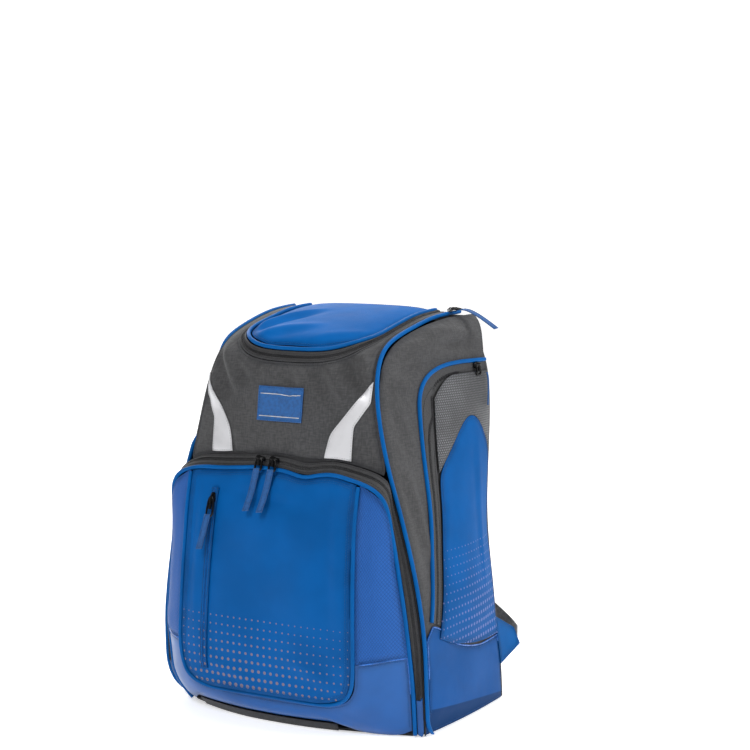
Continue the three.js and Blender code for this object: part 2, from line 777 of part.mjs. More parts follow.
function wrapSurface(a, b) {
  return gussetSurface(mix(wedgeEnd + gussetGap, 1 - wedgeEnd - gussetGap, a), b);
}
add('pocket_wrap', sheet(30, 3, wrapSurface, clothWall), materials.blueGloss);

// Dark strip along the front of the base.
function baseStripSurface(a, b) {
  const x = mix(baseStripLeft, baseStripRight, a);
  return baseEdge(x, mix(floorGap, baseStripHeight - clothWall - 2 * gap, b));
}
add('base_front_strip', sheet(12, 1, baseStripSurface, tapeWall), materials.darkTape);

// Side panels, from the front seam over the top to the rear edge.
const sideTop = bagHeight - jointInset;
const panelBays = 14;
const panelFoot = alongAtHeight(roundHeight);
const panelRows = [
  ...footHeights.slice(0, -1).map(alongAtHeight),
  ...sampled(panelBays, (t) => mix(panelFoot, seamLength, t)),
];
function sidePanelSurface(a, b) {
  const low = floorGap;
  const along = alongList(panelRows, b);
  const z0 = seamHeightAt(along);
  const z1 = seamHeightAt(Math.min(seamLength, along + slopeStep));
  const zb = seamHeightAt(Math.max(0, along - slopeStep));
  const runY = seamY(z1) - seamY(zb);
  const runZ = z1 - zb;
  const run = Math.hypot(runY, runZ);
  const startY = seamY(z0) + (jointInset * runZ) / run;
  const startZ = z0 - (jointInset * runY) / run;
  const endZ = Math.min(startZ, sideTop);
  const y = mix(Math.min(startY, backDepth - 4 * clothWall), backDepth, a);
  const z = mix(Math.max(startZ, low), Math.max(endZ, low), a);
  return sidePoint(y, z);
}
addPair('side_panel', (mirror) => {
  return sheet(6, panelRows.length - 1, (a, b) => mirror(sidePanelSurface(a, b)), clothWall);
}, materials.greyCloth);

addPair('seam_piping', (mirror) => {
  const points = sampled(60, (t) => {
    const along = mix(alongAtHeight(rimFoot), seamLength, t);
    const z = seamHeightAt(along);
    return mirror(new THREE.Vector3(seamOut(z), seamY(z), z));
  });
  return tube(points, pipingRadius, 34);
}, materials.bluePiping);

// Glossy wrap over the foot of a side panel.
const wrapLine = smoothColumn(wrapRows, 'across', 'up');
function sideWrapSurface(a, b) {
  const rows = sampled(3, (t) => mix(roundHeight, archTop * wrapLine(a), t));
  const z = alongList([...footHeights.slice(0, -1), ...rows], b);
  const y = mix(seamY(z) + jointInset, backDepth, a);
  const roll = baseRoll * clampUnit(1 - z / creaseHeight) ** 2;
  return sidePoint(y, z, onPanel + roll);
}
addPair('side_wrap', (mirror) => {
  return sheet(12, footHeights.length + 2, (a, b) => mirror(sideWrapSurface(a, b)), tapeWall);
}, materials.blueGloss);

// Side pocket: piping and zip tape round its front and top, mesh above, tongue below.
const archEdge = smoothColumn(archRows, 'up', 'edge');
const archCrownEdge = smoothColumn(archCrownRows, 'along', 'edge');
const archCrownUp = smoothColumn(archCrownRows, 'along', 'up');
const archLegTop = archRows[archRows.length - 1].up;
const archLegShare = 0.6;
function archLine(t) {
  if (t < archLegShare) {
    const up = mix(archFoot, archLegTop, t / archLegShare);
    return new THREE.Vector2(archEdge(up) * backDepth, archTop * up);
  }
  const along = (t - archLegShare) / (1 - archLegShare);
  return new THREE.Vector2(archCrownEdge(along) * backDepth, archTop * archCrownUp(along));
}
function archPoint(t, inset, lift) {
  const at = archLine(t);
  const run = archLine(Math.min(1, t + probe)).sub(archLine(Math.max(0, t - probe))).normalize();
  return sidePoint(at.x + inset * run.y, at.y - inset * run.x, lift);
}
addPair('arch_piping', (mirror) => {
  const points = sampled(40, (t) => mirror(archPoint(t, 0, pipingRadius + 2 * gap)));
  return tube(points, pipingRadius, 24);
}, materials.bluePiping);
function sideTapeSurface(a, b) {
  const wide = mix(archTapeLeg, archTapeTop, smoothStep(archLegShare - 0.05, 0.85, a));
  return archPoint(a, mix(jointInset + gap, wide, b), onPanel);
}
addPair('side_zip_tape', (mirror) => {
  return sheet(18, 1, (a, b) => mirror(sideTapeSurface(a, b)), tapeWall);
}, materials.darkTape);

const tongueTip = smoothColumn(tongueRows, 'across', 'tip');
const tongueFoot = smoothColumn(tongueRows, 'across', 'foot');
const meshCorner = 0.06;
function meshTop(a) {
  const top = archTop - archTapeTop - 3 * gap;
  return top - archTop * meshCorner * (1 - Math.sin((Math.PI / 2) * clampUnit(a / 0.35)));
}
function sidePocketPoint(a, z, up) {
  const front = archEdge(z / archTop) * backDepth + archTapeLeg * 1.05 + 2 * gap;
  const y = mix(front, backDepth - gap, a);
  const swell = sideSwell * Math.sin(Math.PI * clampUnit(a)) ** 0.7 * Math.sin(Math.PI * up) ** 0.5;
  return sidePoint(y, z, onPanel + clothWall + swell);
}
function tongueSurface(a, b) {
  const foot = archTop * tongueFoot(a);
  const tip = archTop * tongueTip(a) - 2 * gap;
  const z = mix(foot, tip, b);
  return sidePocketPoint(a, z, (z - foot) / (meshTop(a) - foot));
}
function meshSurface(a, b) {
  const foot = archTop * tongueFoot(a);
  const z = mix(archTop * tongueTip(a), meshTop(a), b);
  return sidePocketPoint(a, z, (z - foot) / (meshTop(a) - foot));
}
addPair('side_tongue', (mirror) => {
  return sheet(7, 7, (a, b) => mirror(tongueSurface(a, b)), clothWall);
}, materials.blueLeather);
addPair('side_mesh', (mirror) => {
  return sheet(7, 3, (a, b) => mirror(meshSurface(a, b)), clothWall);
}, materials.darkMesh);

// Back panel with its padding, the wall before the rear slot, and the base.
const backTop = bagHeight - 2 * jointInset;
function backHalf(z) {
  return halfWidth * rearShare(z / bagHeight) + clothWall / 2;
}
function backSurface(a, b) {
  const z = mix(floorGap, backTop, b);
  const half = backHalf(z);
  const reach = mix(-1, 1, a);
  const puff = backPad * (1 - 0.45 * Math.abs(reach) ** 6);
  const corner = 1 - 0.12 * smoothStep(0.9, 1, b) ** 2;
  return new THREE.Vector3(reach * half * corner, backDepth + gap + puff, z);
}
function backInner(a, b) {
  return backSurface(a, b).setY(backDepth + gap);
}
add('back_panel', closedGrid(6, 10, backSurface, backInner), materials.blackCloth);

const dividerTop = bagHeight - 4 * jointInset;
function dividerSurface(a, b) {
  const y = slotFront - 2 * gap;
  const z = mix(baseWall + gap, dividerTop, b);
  const half = sidePoint(y, z).x - clothWall - 4 * gap;
  return new THREE.Vector3(mix(-half, half, a), y, z);
}
add('divider_panel', sheet(4, 12, dividerSurface, clothWall), materials.blackCloth);

const baseColumns = [-1, -0.86, -0.72, -0.5, -0.25, 0.25, 0.5, 0.72, 0.86, 1];
const baseLines = [0, 0.3, 0.6, 1];
const baseInset = tapeWall + 7 * gap;
function basePoint(a, b) {
  const share = baseColumns[Math.round(a * (baseColumns.length - 1))];
  const line = baseLines[Math.round(b * (baseLines.length - 1))];
  const frontHalf = rimPoint(0).x - baseInset;
  const y = mix(baseEdge(share * frontHalf, 0).y + baseInset, backDepth - gap, line);
  const half = mix(frontHalf, sidePoint(y, 0).x - clothWall - baseInset, smoothStep(0, 0.3, line));
  return new THREE.Vector3(share * half, y, 0);
}
function baseTop(a, b) {
  return basePoint(a, b).setZ(baseWall);
}
const baseBody = closedGrid(baseColumns.length - 1, baseLines.length - 1, basePoint, baseTop);
add('base_panel', baseBody, materials.blackCloth);

// Reflective strips on the front panel, from the zip band to the seam.
// out is a share of faceHalf, up a height; inner and outer edges.
const stripRows = [
  { along: 0.0, innerOut: 0.55, innerUp: bandTop + 1, outerOut: 0.83, outerUp: bandTop - 3 },
  { along: 0.36, innerOut: 0.6, innerUp: bandTop + 29, outerOut: 0.83, outerUp: bandTop + 38 },
  { along: 1.0, innerOut: 0.98, innerUp: bandTop + 91, outerOut: 0.98, outerUp: bandTop + 66 },
];
function stripSurface(a, b) {
  const knee = stripRows[1].along;
  const [low, high] = b < knee ? [stripRows[0], stripRows[1]] : [stripRows[1], stripRows[2]];
  const t = clampUnit((b - low.along) / (high.along - low.along));
  const innerX = faceHalf * mix(low.innerOut, high.innerOut, t);
  const outerX = faceHalf * mix(low.outerOut, high.outerOut, t);
  const z = mix(mix(low.innerUp, high.innerUp, t), mix(low.outerUp, high.outerUp, t), a);
  const x = Math.min(mix(innerX, outerX, a), seamOut(z) - jointInset);
  return frontPoint(x, z, stripWall + gap);
}
addPair('reflective_strip', (mirror) => {
  return sheet(3, 11, (a, b) => mirror(stripSurface(a, b)), stripWall);
}, materials.silverStrip);

// Woven patch on the front panel.
const labelWidth = 64;
const labelHeight = 41;
const labelMiddle = 387;
function labelSurface(a, b) {
  const x = labelWidth * (a - 0.5) + 1;
  return frontPoint(x, labelMiddle + labelHeight * (b - 0.5), labelWall + gap);
}
add('label_patch', sheet(6, 4, labelSurface, labelWall), materials.blueTexture);

// Small upright zip on the pocket face.
const faceZipTop = 284;
const faceZipFoot = 62;
const faceZipTopX = -78;
const faceZipFootX = -86;
const faceZipHalf = 5;
function faceZipSurface(a, b) {
  const z = mix(faceZipFoot, faceZipTop, b);
  const x = mix(faceZipFootX, faceZipTopX, b) + faceZipHalf * (2 * a - 1);
  return facePoint(x, z, tapeWall + gap);
}
add('face_zip_tape', sheet(2, 10, faceZipSurface, tapeWall), materials.darkTape);

// Zip slider: a shield-shaped body with a bridge, its back lying on the tape.
const sliderLength = 13;
const sliderWidth = 8.5;
const sliderWall = 4.5;
function sliderGeometry() {
  const w = sliderWidth / 2;
  const l = sliderLength / 2;
  const outline = new THREE.Shape();
  outline.moveTo(-w * 0.55, -l);
  outline.lineTo(w * 0.55, -l);
  outline.lineTo(w, l * 0.45);
  outline.quadraticCurveTo(w, l, 0, l);
  outline.quadraticCurveTo(-w, l, -w, l * 0.45);
  outline.closePath();
  const shape = { depth: sliderWall, bevelEnabled: false, curveSegments: 4 };
  return new THREE.ExtrudeGeometry(outline, shape);
}
// Outward normal of a surface given by two places on it.
function normalAt(pointAt, p, q) {
  const alongP = pointAt(p + 1, q).sub(pointAt(p - 1, q));
  const alongQ = pointAt(p, q + 1).sub(pointAt(p, q - 1));
  const normal = alongP.cross(alongQ).normalize();
  return normal.dot(pointAt(p, q).sub(bagMiddle)) < 0 ? normal.negate() : normal;
}
function addSlider(name, at, normal, up, stand = gap) {
  const mesh = add(name, sliderGeometry(), materials.blackMetal);
  const z = normal.clone().normalize();
  const x = up.clone().cross(z).normalize();
  const y = z.clone().cross(x);
  mesh.setRotationFromMatrix(new THREE.Matrix4().makeBasis(x, y, z));
  mesh.position.copy(at).addScaledVector(z, stand);
}

// Ribbon, webbing or strap of flat section along a curve; across gives its width direction.
function ribbon(points, width, wall, steps, across, columns = 1) {
  const path = new THREE.CatmullRomCurve3(points, false, 'centripetal');
  const surface = (a, b) => {
    const side = across(b).normalize();
    return path.getPoint(b).addScaledVector(side, width * (a - 0.5));
  };
  return sheet(columns, steps, surface, wall);
}
const ribbonWidth = 9;
const ribbonWall = 1;
const ribbonLength = 62;
const upward = new THREE.Vector3(0, 0, 1);

// Ribbon that leaves the front of a slider and hangs down before the pocket.
const ribbonRows = [
  { down: 0.0, out: 0, drift: 0 },
  { down: 0.11, out: 0, drift: 0 },
  { down: 0.3, out: 2, drift: 0.03 },
  { down: 0.65, out: 5, drift: 0.07 },
  { down: 1.0, out: 9, drift: 0.12 },
];
function addRibbon(name, seat, normal, faceY) {
  const top = seat.clone().addScaledVector(normal, sliderWall + 3 * gap + ribbonWall);
  const sliderFoot = top.z - sliderLength / 2;
  const points = ribbonRows.map((row) => {
    const z = top.z - ribbonLength * row.down;
    const sliderFront = top.y - (normal.z / normal.y) * (Math.max(z, sliderFoot) - top.z);
    const y = Math.min(sliderFront, faceY(z)) - row.out;
    return new THREE.Vector3(top.x - ribbonLength * row.drift, y, z);
  });
  const width = new THREE.Vector3(1, 0, 0.12);
  add(name, ribbon(points, ribbonWidth, ribbonWall, 6, () => width.clone()), materials.bluePiping);
}

const pocketSliders = { left: -17, right: 3 };
const sliderPlace = 0.45;
function bandShareAt(x) {
  const half = seamOut(bandLegTop) - bandLegInset;
  const turn = Math.acos(Math.min(1, Math.abs(x) / half) ** (bandTopPower / 2));
  const u = mix(legShare, 0.5, turn / (Math.PI / 2));
  return x < 0 ? 1 - u : u;
}
for (const [side, x] of Object.entries(pocketSliders)) {
  const t = bandShareAt(x);
  const seat = bandSurface(t, sliderPlace).setX(x);
  const slope = bandSurface(t, 1).sub(bandSurface(t, 0));
  const normal = new THREE.Vector3(0, slope.z, -slope.y).normalize();
  addSlider(`pocket_slider_${side}`, seat, normal, new THREE.Vector3(1, 0, 0.1), 2 * gap);
  const faceFront = (z) => facePoint(x, Math.min(z, rimTop - 2 * jointInset)).y - 2 * ribbonWall;
  addRibbon(`pocket_pull_${side}`, seat, normal, faceFront);
}

const faceSliderUp = faceZipTop - sliderLength;
const faceSliderShare = (faceSliderUp - faceZipFoot) / (faceZipTop - faceZipFoot);
const faceSliderX = mix(faceZipFootX, faceZipTopX, faceSliderShare);
const faceNormal = normalAt(facePoint, faceSliderX, faceSliderUp);
const faceSeat = facePoint(faceSliderX, faceSliderUp, tapeWall + gap);
addSlider('face_slider', faceSeat, faceNormal, upward, 2 * gap);
const tapeFront = (z) => facePoint(faceSliderX, z, tapeWall + sliderWall).y;
addRibbon('face_pull', faceSeat, faceNormal, tapeFront);

// Slider at the right end of the rear slot, its pull lying over the shoulder.
const slotSliderInset = 6.56475;
const slotSliderY = slotFront - sliderWidth;
const slotSliderX = sidePoint(slotSliderY, sideTop).x - slotSliderInset;
const slotSeat = sidePoint(slotSliderY, sideTop).setX(slotSliderX);
const slotSliderUp = bagHeight + pipingRadius - gap;
addSlider('slot_slider', slotSeat.setZ(slotSliderUp), upward, new THREE.Vector3(1, 0.2, 0), 0);
const slotPullStart = slotSliderX + sliderLength / 2;
const slotPullTop = new THREE.Vector3(slotPullStart, slotSliderY, slotSliderUp + sliderWall / 2);
addRibbonFlat('slot_pull', slotPullTop, [
  { x: 0.5, y: 0, z: 0 },
  { x: 12, y: 4, z: 1 },
  { x: 30, y: 8, z: -8 },
  { x: 50, y: 12, z: -22 },
]);
function addRibbonFlat(name, top, fall) {
  const points = fall.map((row) => top.clone().add(new THREE.Vector3(row.x, row.y, row.z)));
  const body = ribbon(points, ribbonWidth, ribbonWall, 6, () => new THREE.Vector3(0.1, 1, 0.1));
  add(name, body, materials.bluePiping);
}

// Sliders of the side pockets with thin cord pulls.
const sideSliderY = backDepth * 0.78;
const sideSliderUp = archTop - archTapeTop * 0.55;
const sidePullLength = 50;
const sidePullRadius = 1.2;
for (const [side, sign] of Object.entries(sides)) {
  const seat = sidePoint(sideSliderY, sideSliderUp, onPanel);
  const x = seat.x + sliderWall + sidePullRadius + 3 * gap;
  const outward = normalAt((y, z) => sidePoint(y, z), sideSliderY, sideSliderUp);
  outward.setX(sign * outward.x);
  seat.setX(sign * seat.x);
  addSlider(`side_slider_${side}`, seat, outward, new THREE.Vector3(0, 1, 0), 2 * gap);
  const points = [
    new THREE.Vector3(sign * x, sideSliderY + 2, sideSliderUp),
    new THREE.Vector3(sign * (x + 5), sideSliderY + 8, sideSliderUp - 8),
    new THREE.Vector3(sign * (x + 6), sideSliderY + 10, sideSliderUp - sidePullLength * 0.5),
    new THREE.Vector3(sign * (x + 5), sideSliderY + 11, sideSliderUp - sidePullLength),
  ];
  add(`side_pull_${side}`, tube(points, sidePullRadius, 8), materials.bluePiping);
}

// Shoulder straps, their webbing, adjusters and the tabs at the foot of the back.
const backFace = backDepth + gap + backPad;
const strapBehind = smoothColumn(strapRows, 'down', 'behind');
const strapOut = smoothColumn(strapRows, 'down', 'out');
const strapEnd = strapRows[strapRows.length - 1].down;
function strapMiddle(share) {
  const down = strapEnd * share;
  const y = backFace + gap + strapWall + strapBehind(down);
  return new THREE.Vector3(strapSpread + strapOut(down), y, strapTop * (1 - down));
}
function strapSurface(a, b) {
  const narrow = 1 - 0.25 * smoothStep(0.7, 1, b);
  const point = strapMiddle(b);
  return point.setX(point.x + strapWidth * narrow * (a - 0.5));
}
const strapHeart = new THREE.Vector3(0, backDepth, bagHeight / 2);
addPair('shoulder_strap', (mirror) => {
  return sheet(3, 12, (a, b) => mirror(strapSurface(a, b)), strapWall, 0, strapHeart);
}, materials.blackCloth);

const anchorTop = 104;
const anchorFoot = 44;
const anchorReach = 40;
const anchorWall = 2.5;
function anchorSurface(a, b) {
  const z = mix(anchorFoot, anchorTop, b);
  const tipZ = mix(anchorFoot, anchorTop, 0.42) + webbingWidth * (b - 0.5) * 0.8;
  const x = backHalf(z) + gap + anchorWall;
  const y = mix(backDepth + gap, backFace + anchorReach, a);
  return new THREE.Vector3(x, y, mix(z, tipZ, a));
}
addPair('strap_anchor', (mirror) => {
  return sheet(3, 2, (a, b) => mirror(anchorSurface(a, b)), anchorWall);
}, materials.blueLeather);

const adjusterWall = 5;
const adjusterHeight = 30;
addPair('strap_adjuster', (mirror) => {
  const end = strapMiddle(1);
  const surface = (a, b) => {
    const x = end.x + (webbingWidth + 10) * (a - 0.5);
    const z = end.z - gap - adjusterHeight * b;
    return mirror(new THREE.Vector3(x, end.y - 1, z));
  };
  return sheet(1, 1, surface, adjusterWall, 0, strapHeart);
}, materials.blackMetal);

addPair('strap_webbing', (mirror) => {
  const end = strapMiddle(1);
  const tip = anchorSurface(1, 0.5);
  const start = new THREE.Vector3(end.x, end.y - 2, end.z - adjusterHeight - 2 * gap);
  const points = [
    start,
    new THREE.Vector3(mix(start.x, tip.x, 0.25), start.y + 8, mix(start.z, tip.z, 0.4)),
    new THREE.Vector3(mix(start.x, tip.x, 0.7), tip.y + 14, mix(start.z, tip.z, 0.85)),
    new THREE.Vector3(tip.x, tip.y + 2 * gap + 1, tip.z),
  ];
  const across = (t) => new THREE.Vector3(Math.cos(t * Math.PI * 0.5), 0, Math.sin(t * Math.PI * 0.5));
  const path = new THREE.CatmullRomCurve3(points, false, 'centripetal');
  const surface = (a, b) => {
    const side = across(b);
    return mirror(path.getPoint(b).addScaledVector(side, webbingWidth * (a - 0.5)));
  };
  return sheet(1, 12, surface, webbingWall);
}, materials.greyWebbing);

// Grab handle across the top of the back.
// out is a share of handleHalf, behind of handleReach.
const handleHalf = 54;
const handleDrop = 20;
const handleUp = bagHeight - handleDrop;
const handleReach = 24;
const handleWidth = 24;
const handleWall = 4;
const handleRows = [
  { out: 1, behind: 0 },
  { out: 0.86, behind: 0 },
  { out: 0.78, behind: 0.08 },
  { out: 0.62, behind: 0.5 },
  { out: 0.35, behind: 0.92 },
  { out: 0, behind: 1 },
];
const handleHalfPath = handleRows.map((row) => {
  const y = backFace + gap + handleWall + handleReach * row.behind;
  return new THREE.Vector3(handleHalf * row.out, y, handleUp);
});
const handlePath = [
  ...handleHalfPath.map((point) => point.clone().setX(-point.x)),
  ...handleHalfPath.slice(0, -1).reverse(),
];
const handleCurve = new THREE.CatmullRomCurve3(handlePath, false, 'centripetal');
function handleSurface(a, b) {
  const point = handleCurve.getPoint(b);
  return point.setZ(point.z + handleWidth * (a - 0.5));
}
add('grab_handle', sheet(1, 16, handleSurface, handleWall, 0, strapHeart), materials.blackCloth);

export default bag;
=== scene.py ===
"""Upright sports backpack: cloth, piping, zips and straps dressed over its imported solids."""
import math

import bmesh
import bpy
from mathutils import Matrix, Vector, noise
from mathutils.bvhtree import BVHTree
from mathutils.kdtree import KDTree


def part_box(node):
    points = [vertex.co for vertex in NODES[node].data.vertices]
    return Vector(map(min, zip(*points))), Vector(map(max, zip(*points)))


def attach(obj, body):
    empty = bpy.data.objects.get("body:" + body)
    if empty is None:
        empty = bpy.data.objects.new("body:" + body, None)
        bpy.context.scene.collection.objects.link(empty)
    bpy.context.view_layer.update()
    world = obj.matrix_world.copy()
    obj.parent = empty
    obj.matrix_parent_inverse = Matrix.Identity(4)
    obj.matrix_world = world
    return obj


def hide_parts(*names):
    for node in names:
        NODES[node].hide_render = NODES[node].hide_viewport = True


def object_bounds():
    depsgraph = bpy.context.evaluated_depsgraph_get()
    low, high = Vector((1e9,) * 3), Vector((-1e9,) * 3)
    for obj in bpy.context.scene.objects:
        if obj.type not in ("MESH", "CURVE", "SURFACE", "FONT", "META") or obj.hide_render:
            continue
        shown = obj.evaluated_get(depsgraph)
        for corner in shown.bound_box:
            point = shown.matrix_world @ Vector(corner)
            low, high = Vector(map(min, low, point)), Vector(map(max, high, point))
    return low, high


bl_info = {
    "name": "Sports Backpack",
    "version": (1, 0, 0),
    "blender": (4, 5, 0),
    "location": "View3D > Sidebar > Backpack",
    "description": "Dresses an upright sports backpack over its packed solids",
    "category": "Add Mesh",
}

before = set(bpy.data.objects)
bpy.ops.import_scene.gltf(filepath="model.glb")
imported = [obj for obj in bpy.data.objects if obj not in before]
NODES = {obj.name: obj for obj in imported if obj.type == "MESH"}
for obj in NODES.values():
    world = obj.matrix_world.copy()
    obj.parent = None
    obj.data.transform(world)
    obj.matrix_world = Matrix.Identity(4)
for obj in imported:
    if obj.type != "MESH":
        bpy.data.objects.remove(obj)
CAD_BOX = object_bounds()
BODY = "root"
MM = 0.001
WELD = 0.02 * MM
SKIN_CREASE = 50.0
THREAD_LIFT = 0.55
SEAM_INSET = 0.0030
CHANNEL_WIDTH = 0.006
CHANNEL_DEPTH = 0.0034

# Strength of the white room as light; the camera sees it at full strength.
ROOM_LIGHT = 0.24
HEART = Vector((0.0, 0.0, 0.24))
STRAP_HEART = Vector((0.0, 0.104, 0.245))

# The turned-in foot of the sides: the crease's height at the middle and its fall per metre towards the back.
# Below the crease the side wraps also get painted shade.
CREASE_MIDDLE = 0.022
CREASE_FALL = 0.118

# Levels of subdivision of large panels and of small pieces.
FINE = 3
COARSE = 2

SIDES = ("right", "left")


# Settings that a user would change.
def measure(name, text, value):
    return bpy.props.FloatProperty(
        name=name, description=text, default=value, subtype="DISTANCE", unit="LENGTH")


def angle(name, text, value):
    return bpy.props.FloatProperty(
        name=name, description=text, default=value, subtype="ANGLE", unit="ROTATION")


def tint(name, text, value):
    return bpy.props.FloatVectorProperty(
        name=name, description=text, default=value, size=3, min=0.0, max=1.0, subtype="COLOR")


class BagCloth(bpy.types.PropertyGroup):
    """Depths of folds and sizes of the sewing"""
    fold_depth: bpy.props.FloatProperty(
        name="Fold depth", description="Scale of the folds in the cloth", default=1.0, min=0.0, max=3.0)
    puff: measure("Puff", "How far a panel swells beside its seams", 0.0012)
    piping_round: measure(
        "Piping fill", "How far subdivided piping is pushed out to its full radius", 0.00085)
    stitch_pitch: measure("Stitch pitch", "Distance from one stitch to the next", 0.0031)
    stitch_length: measure("Stitch length", "Length of the thread that shows", 0.0022)
    thread: measure("Thread radius", "Radius of the sewing thread", 0.00028)
    coil_pitch: measure("Coil pitch", "Distance between the turns of a zip's coil", 0.0016)


class BagColours(bpy.types.PropertyGroup):
    """Colours of the cloths and trims"""
    coated: tint("Coated blue", "Soft coated blue of the lid, face and side tongues", (0.0, 0.086, 0.310))
    glossy: tint("Glossy blue", "Shiny blue of the wraps at the foot", (0.010, 0.094, 0.335))
    textured: tint("Textured blue", "Woven blue of the pocket's sides", (0.017, 0.098, 0.360))
    piping: tint("Piping blue", "Blue of the piping and pulls", (0.0, 0.090, 0.315))
    heather: tint("Heather grey", "Grey of the upper cloth", (0.058, 0.058, 0.060))
    tape: tint("Tape grey", "Dark grey of the zip tapes", (0.026, 0.026, 0.028))
    back: tint("Back black", "Near black of the back and straps", (0.016, 0.016, 0.018))
    silver: tint("Silver", "Silver of the reflective strips", (0.60, 0.60, 0.62))
    print_dots: tint("Printed dots", "Copper grey of the dots on the face", (0.235, 0.180, 0.190))


class BagStage(bpy.types.PropertyGroup):
    """Camera, floor and lights"""
    distance: measure("Camera distance", "Level distance from the bag's upright axis", 2.3707)
    height: measure("Camera height", "Height of the camera over the floor", 0.651)
    azimuth: angle("Camera azimuth", "Angle round the bag from its front", 0.56723)
    turn: angle("Camera turn", "Turn of the view from the bag's axis", -0.020944)
    dip: angle("Camera dip", "Angle of the view below level", 0.10071)
    lens: bpy.props.FloatProperty(
        name="Lens", description="Focal length on a 36 mm sensor, in millimetres", default=91.2)
    floor: tint("Floor", "Pale colour of the floor and backdrop", (0.90, 0.90, 0.90))
    key_light: bpy.props.FloatProperty(
        name="Key light", description="Power of the large soft light at the right", default=33.0,
        subtype="POWER", unit="POWER")


# Numbers shared by the helpers.
def clamp(value, low=0.0, high=1.0):
    return max(low, min(high, value))


def mix(low, high, share):
    return low + (high - low) * share


def smooth_step(low, high, value):
    share = clamp((value - low) / (high - low))
    return share * share * (3.0 - 2.0 * share)


def bell(value, width):
    return math.exp(-(value / width) ** 2)


# Node groups shared by the materials.
def new_group(name, inputs, outputs):
    group = bpy.data.node_groups.new(name, "ShaderNodeTree")
    for label, kind, default in inputs:
        socket = group.interface.new_socket(name=label, in_out="INPUT", socket_type=kind)
        if default is not None:
            socket.default_value = default
    for label, kind in outputs:
        group.interface.new_socket(name=label, in_out="OUTPUT", socket_type=kind)
    start = group.nodes.new("NodeGroupInput")
    end = group.nodes.new("NodeGroupOutput")
    return group, start, end


class Wiring:
    """Adds and joins nodes of one tree with little writing."""

    def __init__(self, tree):
        self.tree = tree

    def node(self, kind, **values):
        made = self.tree.nodes.new(kind)
        for key, value in values.items():
            setattr(made, key, value)
        return made

    def put(self, socket, value):
        if isinstance(value, bpy.types.NodeSocket):
            self.tree.links.new(value, socket)
        elif value is not None:
            socket.default_value = value

    def math(self, operation, first, second=None):
        made = self.node("ShaderNodeMath", operation=operation)
        self.put(made.inputs[0], first)
        self.put(made.inputs[1], second)
        return made.outputs[0]

    def times(self, first, second):
        return self.math("MULTIPLY", first, second)

    def plus(self, first, second):
        return self.math("ADD", first, second)

    def vector(self, operation, first, second=None):
        made = self.node("ShaderNodeVectorMath", operation=operation)
        self.put(made.inputs[0], first)
        self.put(made.inputs[1], second)
        return made.outputs["Value" if operation in ("LENGTH", "DISTANCE", "DOT_PRODUCT") else "Vector"]

    def blend(self, factor, first, second):
        made = self.node("ShaderNodeMix", data_type="RGBA")
        self.put(made.inputs["Factor"], factor)
        self.put(made.inputs[6], first)
        self.put(made.inputs[7], second)
        return made.outputs[2]

    def ramp(self, value, low, high, start=0.0, end=1.0):
        made = self.node("ShaderNodeMapRange", interpolation_type="SMOOTHSTEP")
        sockets = {"Value": value, "From Min": low, "From Max": high, "To Min": start, "To Max": end}
        for key, number in sockets.items():
            self.put(made.inputs[key], number)
        return made.outputs[0]

    def noise(self, place, scale, detail=2.0, rough=0.5):
        made = self.node("ShaderNodeTexNoise")
        self.put(made.inputs["Vector"], place)
        self.put(made.inputs["Scale"], scale)
        made.inputs["Detail"].default_value = detail
        made.inputs["Roughness"].default_value = rough
        return made.outputs["Fac"]

    def split(self, vector):
        made = self.node("ShaderNodeSeparateXYZ")
        self.put(made.inputs[0], vector)
        return made.outputs

    def join(self, x, y, z=0.0):
        made = self.node("ShaderNodeCombineXYZ")
        for socket, value in zip(made.inputs, (x, y, z)):
            self.put(socket, value)
        return made.outputs[0]

    def use(self, group, **values):
        made = self.node("ShaderNodeGroup", node_tree=group)
        for key, value in values.items():
            self.put(made.inputs[key.replace("_", " ")], value)
        return made.outputs


FLOAT = "NodeSocketFloat"
COLOR = "NodeSocketColor"
VECTOR = "NodeSocketVector"
GROUPS = {}
# Painted shade: beside seams the colour darkens towards this.
SEAM_SHADE = (0.01, 0.012, 0.02, 1.0)
DUST = (0.20, 0.24, 0.32, 1.0)


def weave_group():
    """Plain weave: threads over and under, as a height and a mask of the gaps."""
    group, start, end = new_group(
        "cloth_weave", [("Place", VECTOR, None), ("Pitch", FLOAT, 0.001), ("Slant", FLOAT, 0.0)],
        [("Height", FLOAT), ("Gap", FLOAT)])
    w = Wiring(group)
    x, y, _ = w.split(start.outputs["Place"])
    slanted = w.plus(x, w.times(y, start.outputs["Slant"]))
    turn = w.math("DIVIDE", math.pi, start.outputs["Pitch"])
    wave_x = w.math("SINE", w.times(slanted, turn))
    wave_y = w.math("SINE", w.times(y, turn))
    over = w.times(wave_x, wave_y)
    ridge = w.plus(w.times(w.math("ABSOLUTE", wave_x), 0.5),
                   w.times(w.math("ABSOLUTE", wave_y), 0.5))
    height = w.plus(w.times(over, 0.35), ridge)
    w.put(end.inputs["Height"], height)
    w.put(end.inputs["Gap"], w.ramp(ridge, 0.1, 0.45, 1.0, 0.0))
    return group


def grain_group():
    """Fine pebbled grain of coated cloth."""
    group, start, end = new_group(
        "coated_grain", [("Place", VECTOR, None), ("Scale", FLOAT, 900.0)],
        [("Height", FLOAT), ("Tone", FLOAT)])
    w = Wiring(group)
    cells = w.node("ShaderNodeTexVoronoi", feature="SMOOTH_F1")
    w.put(cells.inputs["Vector"], start.outputs["Place"])
    w.put(cells.inputs["Scale"], start.outputs["Scale"])
    fine = w.noise(start.outputs["Place"], start.outputs["Scale"], 3.0, 0.6)
    broad = w.noise(start.outputs["Place"], 14.0, 3.0, 0.55)
    w.put(end.inputs["Height"], w.plus(w.times(cells.outputs["Distance"], 0.7), fine))
    w.put(end.inputs["Tone"], broad)
    return group


